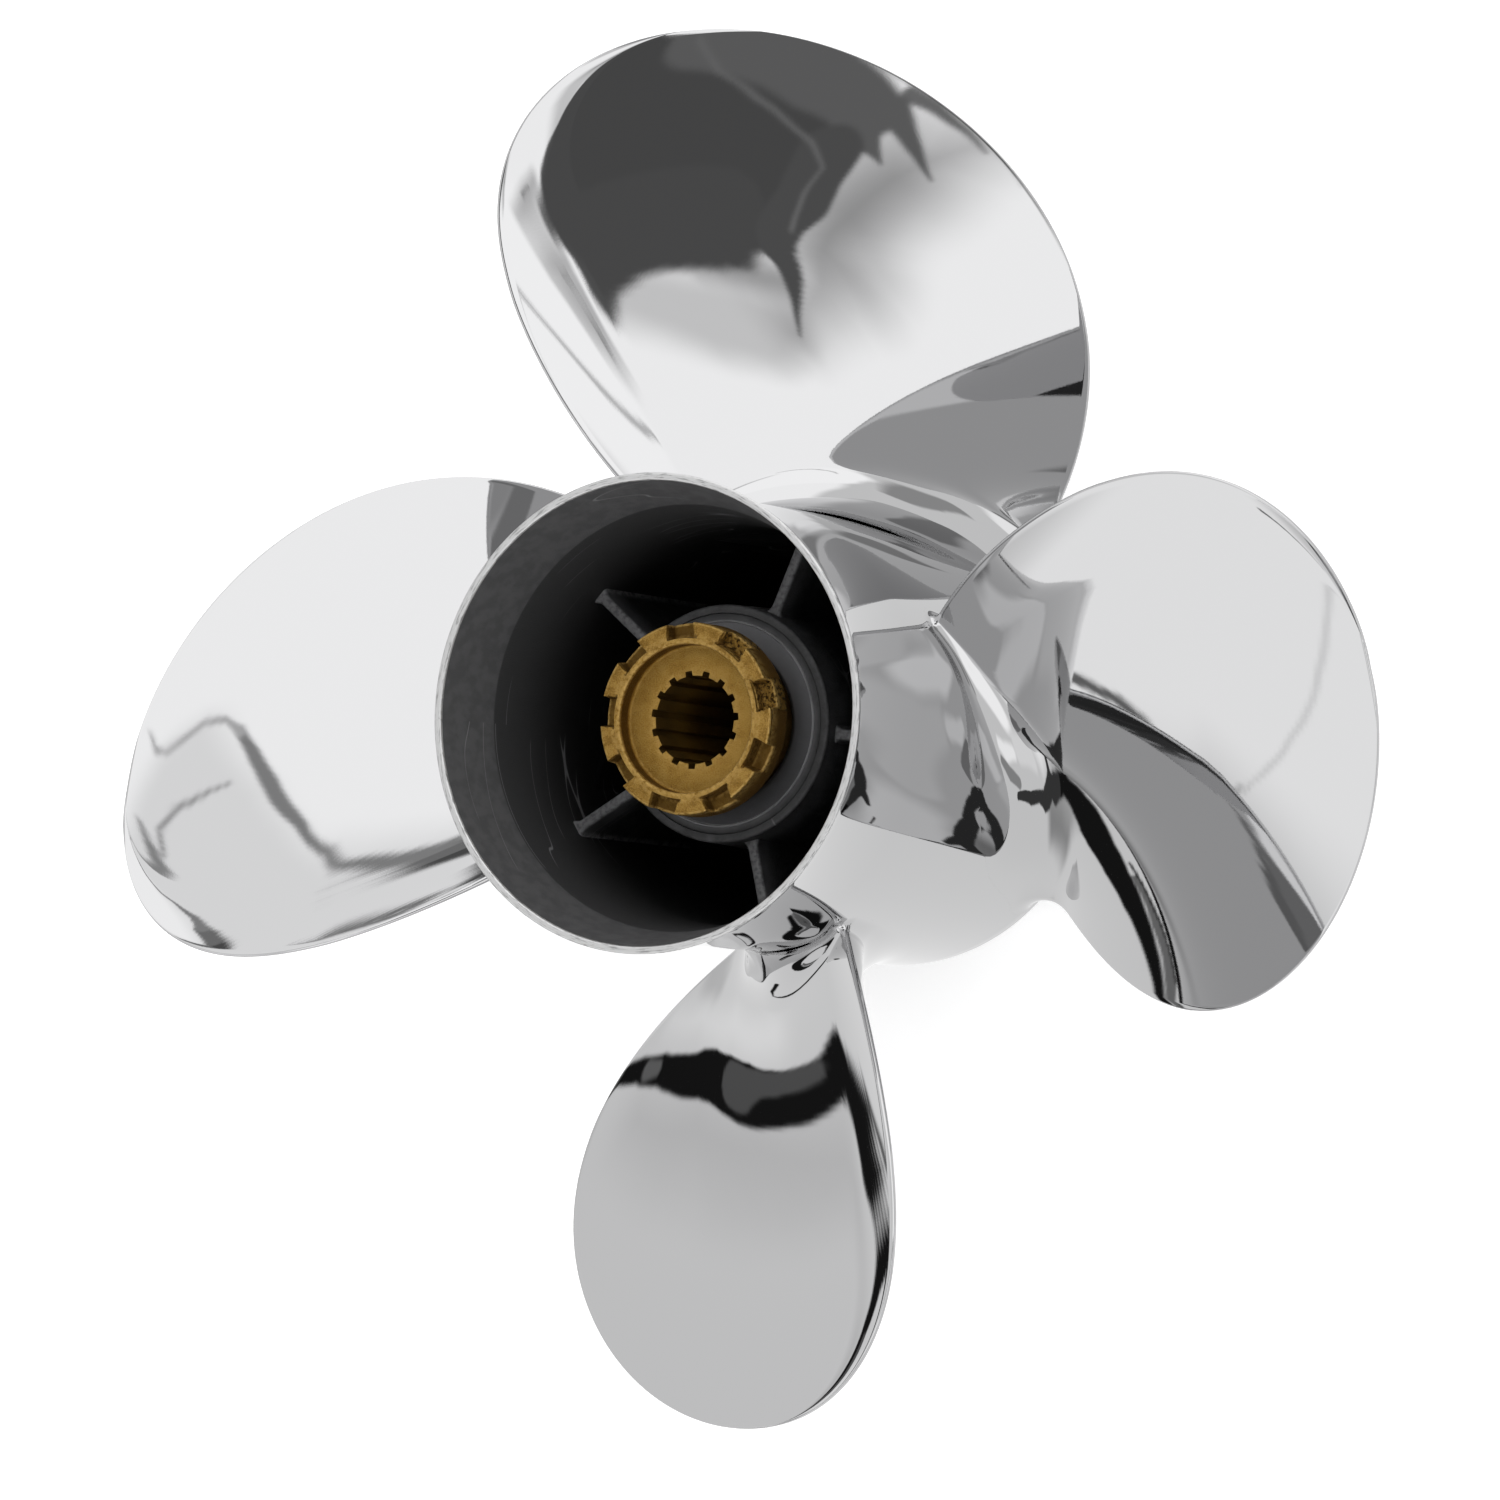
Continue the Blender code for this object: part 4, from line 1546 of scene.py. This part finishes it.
# Parts of the tent that are brighter than the rest.
BRIGHT_WALLS = (
    TentMark(((-52, 84, 10), (-30, 62, 16), (-14, 45, 14)), 1.28, 6),
    TentMark(((-12.5, 91.4, 24), (11, 66.4, 24), (30, 30, 30), (34, -14, 30), (12, -45, 22)), 1.62, 6),
    TentMark(((-26, 37.5, 6), (-14, 38, 6.3), (-4, 38, 8.5), (10, 38, 14)), 1.62, 2),
    TentMark(((52, 20, 14), (55, 10, 13)), 1.68, 4),
    TentMark(((-40, -60, 18), (-50, -42, 18)), 1.42, 12),
    TentMark(((-20, -77, 5), (12, -74, 7)), 1.2, 5),
    TentMark(((24, -74, 4), (45, -70, 6), (58, -61, 4)), 1.5, 5),
)
# Parts that are dimmer than what lies round them.
DIM_CORNERS = (
    TentMark(((76, 30, 4), (78, 12, 7.5), (77, -4, 8), (78, -20, 5)), 0.45, 4),
    TentMark(((25, -91, 4), (45, -83, 5), (62, -70, 3)), 0.4, 2),
    TentMark(((-95, 61, 4), (-87, 70, 5)), 0.78, 6),
    TentMark(((-88, 83, 8), (-73, 85, 9)), 0.5, 3),
    TentMark(((-94, 15, 4), (-91, 28, 5), (-84, 41, 5), (-70, 51, 3)), 0.82, 12),
    TentMark(((-108, 25, 4), (-104, 42, 4), (-90, 57, 3), (-75, 63, 2)), 1.15, 8),
)
# The opening for the lens, which the top blade shows: its soft edges, the dark itself with its
# ragged teeth, and the thin lines across it and beside it.
LENS_OPENING = (
    TentMark(((37, -10, 3), (38, -17, 4.2), (37.5, -22, 4.8), (35.5, -26, 3)), 1.03, 5),
    TentMark(((7, -30.5, 0.8), (10, -31, 2.2), (14, -31.5, 4.8), (19, -32.5, 5.5), (23, -33, 4.5),
              (28, -31.5, 2.3), (36, -27, 0.8)), 0.5, 13),
    TentMark(((33, -19, 0.8), (31.5, -24, 1.5), (30.5, -27, 1.5)), 0.62, 3),
    TentMark(((45.5, -4, 1), (47.5, -2.5, 1.2), (49.5, -1.2, 1), (51.5, 0.2, 0.6)), 0.8, 2.5),
    TentMark(((42, -2.3, 2.2), (41.2, -4.3, 2), (39, -6.9, 1.6), (36.5, -8.5, 1.5)), 0.14, 0.8),
    TentMark(((49.1, -2.1, 0.2), (48, -2.8, 0.15), (47, -3.3, 0.1)), 0.3, 0.4),
    TentMark(((10.2, -24.5, 0.9), (9.3, -26.8, 0.5), (8.3, -29, 0.3), (7.3, -31.5, 0.1)), 0.25, 0.5),
    TentMark(((24.5, -3, 9.3), (24.5, -12, 9.2), (22.5, -20.5, 8.6)), 0.11, 0.8),
    TentMark(((40.5, 1, 6.3), (35.5, -5.5, 3.6), (31, -12, 4.6), (27, -22, 4.6)), 0.12, 0.8),
    TentMark(((15, -10.5, 2.5), (14.3, -14, 2.5), (13.8, -20, 2.5), (13, -25, 2.2)), 0.19, 0.8),
    TentMark(((11.8, -25, 1.1), (11.6, -29, 0.6), (11.3, -33, 0.1)), 0.19, 0.5),
    TentMark(((14.3, -25, 1.8), (14.3, -29.6, 0.1)), 0.19, 0.5),
    TentMark(((17, -26, 2.6), (21, -28, 2.8), (25, -28, 2.4), (28.5, -28.6, 1.2), (32, -28.2, 0.5),
              (36, -27.4, 0.1)), 0.13, 0.6),
    TentMark(((15.3, -9.7, 0.12), (16.8, -13.1, 0.15), (17.2, -17.7, 0.18), (17.4, -24.2, 0.18),
              (18.1, -26.8, 0.15), (20.5, -27.6, 0.25), (24, -29.1, 0.3)), 0.24, 0.5),
    TentMark(((53.5, -2.5, 0.3), (56.5, 1, 0.35), (59, 5.5, 0.3), (59.8, 9, 0.2)), 0.8, 0.4),
    TentMark(((4.5, -35, 0.6), (7, -29.5, 0.6), (10, -22.5, 0.6), (11.3, -19.5, 0.3)), 0.5, 0.5),
)
# The seam that the left blade shows as a wandering dark line, and the short streaks near it.
LEFT_SEAM = (
    TentMark(((-39, 79.8, 0.7), (-36.2, 77, 0.9), (-34.2, 75.4, 1.1), (-31.8, 73.6, 1.3)), 0.12, 0.8),
    TentMark(((-31.8, 73.6, 1.2), (-28.8, 71.2, 1.3), (-27.4, 70.2, 1.1)), 0.27, 0.6),
    TentMark(((-27.6, 70, 1.1), (-26.6, 68.9, 0.9), (-24.2, 66.2, 0.65), (-20.4, 62.7, 0.4),
              (-17.6, 61.4, 0.4), (-15.3, 59.8, 0.5), (-12.9, 57.8, 0.7), (-11, 55.5, 0.9),
              (-9, 53.1, 0.9), (-7.1, 50.4, 0.7), (-6.4, 48.4, 0.5)), 0.38, 0.5),
    TentMark(((-6.4, 48.4, 0.5), (-6.7, 46.9, 0.25), (-8.6, 45.8, 0.2), (-11, 45.3, 0.2),
              (-12.9, 44.7, 0.2), (-13.7, 44, 0.2), (-13.2, 43.2, 0.2)), 0.7, 0.4),
    TentMark(((-20.1, 46.9, 0.2), (-18.4, 46.2, 0.2), (-15.7, 47.1, 0.2), (-12.9, 48.8, 0.15),
              (-11, 50, 0.1)), 0.45, 0.4),
    TentMark(((-22.3, 48.6, 0.5), (-20.8, 46.4, 0.5), (-19, 44.6, 0.15)), 0.42, 0.4),
    TentMark(((-55.5, 84.2, 0.5), (-52, 84.4, 0.8), (-46, 82.2, 0.6)), 0.1, 0.6),
    TentMark(((-54, 82.8, 0.5), (-50, 80.2, 0.45), (-47, 78.8, 0.35), (-43.5, 77, 0.25)), 0.22, 0.5),
)
# Thin seams towards -X, then a pale stroke and two grey ones below the horizon towards +X.
RIGHT_SEAM = (
    TentMark(((-69, -36.6, 0.4), (-66, -36.3, 0.3)), 0.75, 0.4),
    TentMark(((-67, -36.3, 0.2), (-41, -36.9, 0.2)), 1.1, 0.3),
    TentMark(((-64.2, -48, 0.3), (-59.5, -53.5, 0.5), (-54, -60, 0.6)), 0.2, 0.4),
    TentMark(((132.8, -33, 1.2), (131.8, -26, 1.6), (130.8, -17, 2.2), (129.8, -8, 2.8),
              (127.3, 1, 3), (122, 8, 3), (116, 12, 2)), 2.1, 0.6),
    TentMark(((125.3, -9, 0.3), (126.9, -13, 0.4), (128.2, -22.5, 0.6), (129.4, -30, 1.0),
              (130.6, -38, 2.1), (129.6, -51, 3.2), (125, -67, 3), (118.8, -81, 2.5),
              (115, -86, 1)), 0.42, 0.8),
    TentMark(((128.4, -31, 0.3), (128, -40, 0.4), (126.6, -50, 0.5), (122.6, -67, 1.2),
              (117, -81, 1.5), (115, -85, 0.8)), 0.32, 0.8),
)
# The gap between the tent's wall and the floor, which the right and the bottom blade show as
# dark bands, with its greyer parts.
DARK_GAP = (
    TentMark(((-85, -62, 6), (-70, -72, 7), (-50, -84, 8)), 0.4, 16),
    TentMark(((-62, 58.1, 1.3), (-68.3, 57.7, 1.7), (-74.5, 55.7, 2.3), (-79.8, 52.6, 2.7),
              (-84.4, 49.6, 3.2), (-88.8, 46.6, 3.7), (-92.3, 42.9, 4.2), (-95, 37.5, 4.6),
              (-97, 31.4, 4.6), (-98.5, 25, 3.8), (-99.3, 19.3, 2.95), (-100.2, 14.4, 2.3),
              (-104.5, 9.6, 1.8), (-110, 6.6, 1.2), (-115.5, 4.2, 0.4)), 0.012, 0.6),
    TentMark(((-115.5, 4.2, 0.4), (-117, -2, 1.5), (-113, -14, 2)), 0.012, 1.5),
    TentMark(((-91.3, -17, 1.0), (-92.3, -24.5, 1.8), (-92.4, -32, 2.7), (-91, -40, 3.4),
              (-88.5, -46.5, 3.7), (-86.3, -50, 3.7), (-82, -54.7, 3.1), (-74.5, -61.7, 1.7),
              (-68, -67, 1.8)), 0.012, 0.8),
    TentMark(((-68, -67, 1.8), (-57, -73.5, 2.8), (-50, -76, 3.2), (-43, -81, 3.5), (-33, -87.5, 3),
              (-20, -91, 2), (0, -97, 3), (30, -99, 3)), 0.06, 0.8),
    TentMark(((-50, -75, 3), (-52.5, -67.5, 1.2)), 0.06, 1.0),
    TentMark(((-89.3, -17, 0.9), (-88.9, -28, 1.0), (-87.6, -37, 0.8)), 0.22, 0.5),
    TentMark(((-88.3, -20, 0.25), (-87.8, -32, 0.3), (-86.2, -40, 0.3)), 0.04, 0.3),
    TentMark(((-95.7, 36.5, 3.6), (-96.7, 33.5, 3.6), (-99.3, 29, 2.2), (-100.6, 23, 1.5),
              (-101.2, 16, 1.0)), 0.12, 0.6),
    TentMark(((-73.5, 56.3, 1.2), (-70.5, 57, 1.4)), 0.18, 0.8),
)


@dataclass(frozen=True)
class Studio:
    """A pale floor in a soft light tent."""

    floor_reach: float = 20.0
    floor_height: float = -0.5 * MM
    floor_glow: float = 0.45
    floor_colour: Colour = (0.85, 0.85, 0.85)
    patch_radius: float = 57 * MM
    patch_height: float = -0.4 * MM
    patch_corners: int = 64
    # Painted shade: the near-black patch under the barrel.
    patch_shade_colour: Colour = (0.004, 0.004, 0.004)
    matte: float = 0.9
    tent_radius: float = 30.0
    tent_level: float = 1.0
    step: float = 0.36
    ruffle: float = 0.012
    ruffle_lengths: tuple[float, ...] = (23.0, 13.0, 7.0, 4.0, 2.6)
    ruffle_growth: float = 0.7
    ruffle_slant: float = 0.6
    ruffle_phase: float = 1.7
    marks: tuple[TentMark, ...] = (BRIGHT_WALLS + DIM_CORNERS + LENS_OPENING + LEFT_SEAM
                                   + RIGHT_SEAM + DARK_GAP)

    def build(self) -> None:
        """Make the floor, a dark patch of painted shade under the barrel, and the tent round them.

        The mirror steel shows the tent in the floor's place.
        """
        reach, height = self.floor_reach, self.floor_height
        corners = [(-reach, -reach, height), (reach, -reach, height), (reach, reach, height),
                   (-reach, reach, height)]
        floor = principled("pale_floor", Base_Color=self.floor_colour, Roughness=self.matte,
                           Specular_IOR_Level=0.0, Emission_Color=(1, 1, 1),
                           Emission_Strength=self.floor_glow)
        self.lay_sheet("studio_floor", corners, floor, mirrored=False)
        # The near-black patch under the barrel stands in for the shade there: painted shade, which the steel
        # also mirrors.
        ring = polar(self.patch_radius, round_angles(self.patch_corners), self.patch_height)
        shade = principled("floor_in_shade", Base_Color=self.patch_shade_colour, Roughness=self.matte,
                           Specular_IOR_Level=0.0)
        self.lay_sheet("floor_patch", ring.tolist(), shade, mirrored=True)
        self.build_tent()

    def lay_sheet(self, name: str, outline: list, material: Material, mirrored: bool) -> None:
        """Lay a sheet of one face in the scene.

        Args:
            name: Name of the sheet.
            outline: Its corners.
            material: Its material.
            mirrored: Whether the steel mirrors it.
        """
        mesh = bpy.data.meshes.new(name)
        mesh.from_pydata(outline, [], [tuple(range(len(outline)))])
        mesh.materials.append(material)
        sheet = link(name, mesh)
        sheet.visible_glossy = mirrored

    def build_tent(self) -> None:
        """Hang the tent round the scene, a dome that glows as its marks say."""
        rows = round(180 / self.step) + 1
        tilt = np.linspace(self.step / 4, 180 - self.step / 4, rows)[:, None]
        turn = round_angles(2 * (rows - 1))[None, :]
        points = polar(np.sin(np.radians(tilt)), turn, np.cos(np.radians(tilt))) * self.tent_radius
        light = self.light_at(self.ruffled(polar(tilt, turn, 0.0)[..., :2]))
        mesh = skinned("studio_tent", 180, points, light, closed=False, attribute="light")
        material = bpy.data.materials.new("tent_light")
        material.use_nodes = True
        material.cycles.emission_sampling = "NONE"
        work = Wiring(material.node_tree)
        work.tree.nodes.remove(work.tree.nodes["Principled BSDF"])
        glow = work.fill(work.add("ShaderNodeEmission"), Strength=work.attribute("light"))
        work.fill(work.tree.nodes["Material Output"], Surface=glow.outputs[0])
        mesh.materials.append(material)
        link("studio_tent", mesh)
        world = bpy.data.worlds.new("studio_dark")
        bpy.context.scene.world = world
        world.use_nodes = True
        Wiring(world.node_tree).fill(world.node_tree.nodes["Background"], Color=(0, 0, 0))

    def ruffled(self, place: Array) -> Array:
        """Shift places on the tent a little, so that no edge is ruler straight.

        Args:
            place: Places in degrees from overhead.

        Returns:
            The shifted places.
        """
        shift = np.zeros_like(place)
        for number, length in enumerate(self.ruffle_lengths):
            swap = place[..., ::-1] * (1 if number % 2 else -1)
            phase = self.ruffle_phase * number
            wave = np.sin(math.tau * (place + self.ruffle_slant * swap) / length + phase)
            shift += wave * length**self.ruffle_growth * self.ruffle
        return place + shift

    def light_at(self, place: Array) -> Array:
        """Light of the tent at the given places.

        Args:
            place: Places in degrees from overhead.

        Returns:
            The light, with every mark laid on in order.
        """
        light = np.full(place.shape[:-1], self.tent_level)
        for mark in self.marks:
            share = 1 - smooth_step(mark.distance(place) / mark.soft + 0.5)
            light += (mark.level - light) * share
        return light


def main() -> None:
    """Build every piece, the camera and the studio."""
    logging.basicConfig(level=logging.INFO, format="%(name)s: %(message)s")
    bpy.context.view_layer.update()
    hub, rubber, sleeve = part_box("inner_hub"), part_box("rubber_bushing"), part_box("spline_sleeve")
    barrel = BarrelForm(length=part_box("barrel")[1].z, rim_radius=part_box("barrel")[1].x)
    groups = {Effect.GRAIN: grain_group(), Effect.WEAR_AND_HIGHLIGHT: wear_and_highlight_group(), Effect.SCRATCHES: scratch_group()}
    for part in (
        PolishedCasting(barrel, Blade(BladeForm(TIP_RADIUS, barrel))),
        PaintedCore(barrel, hub_top=hub[1].z, hub_bottom=hub[0].z),
        RubberBushing(top=hub[1].z, bottom=rubber[0].z),
        SplineSleeve(top=sleeve[1].z, bottom=sleeve[0].z),
    ):
        piece = part.build(groups)
        LOG.info("%s: %d faces", piece.name, len(piece.data.polygons))
    StudioCamera().build(TIP_RADIUS, barrel.length)
    Studio().build()
    bpy.context.scene.view_settings.view_transform = "Standard"


if __name__ == "__main__":
    main()
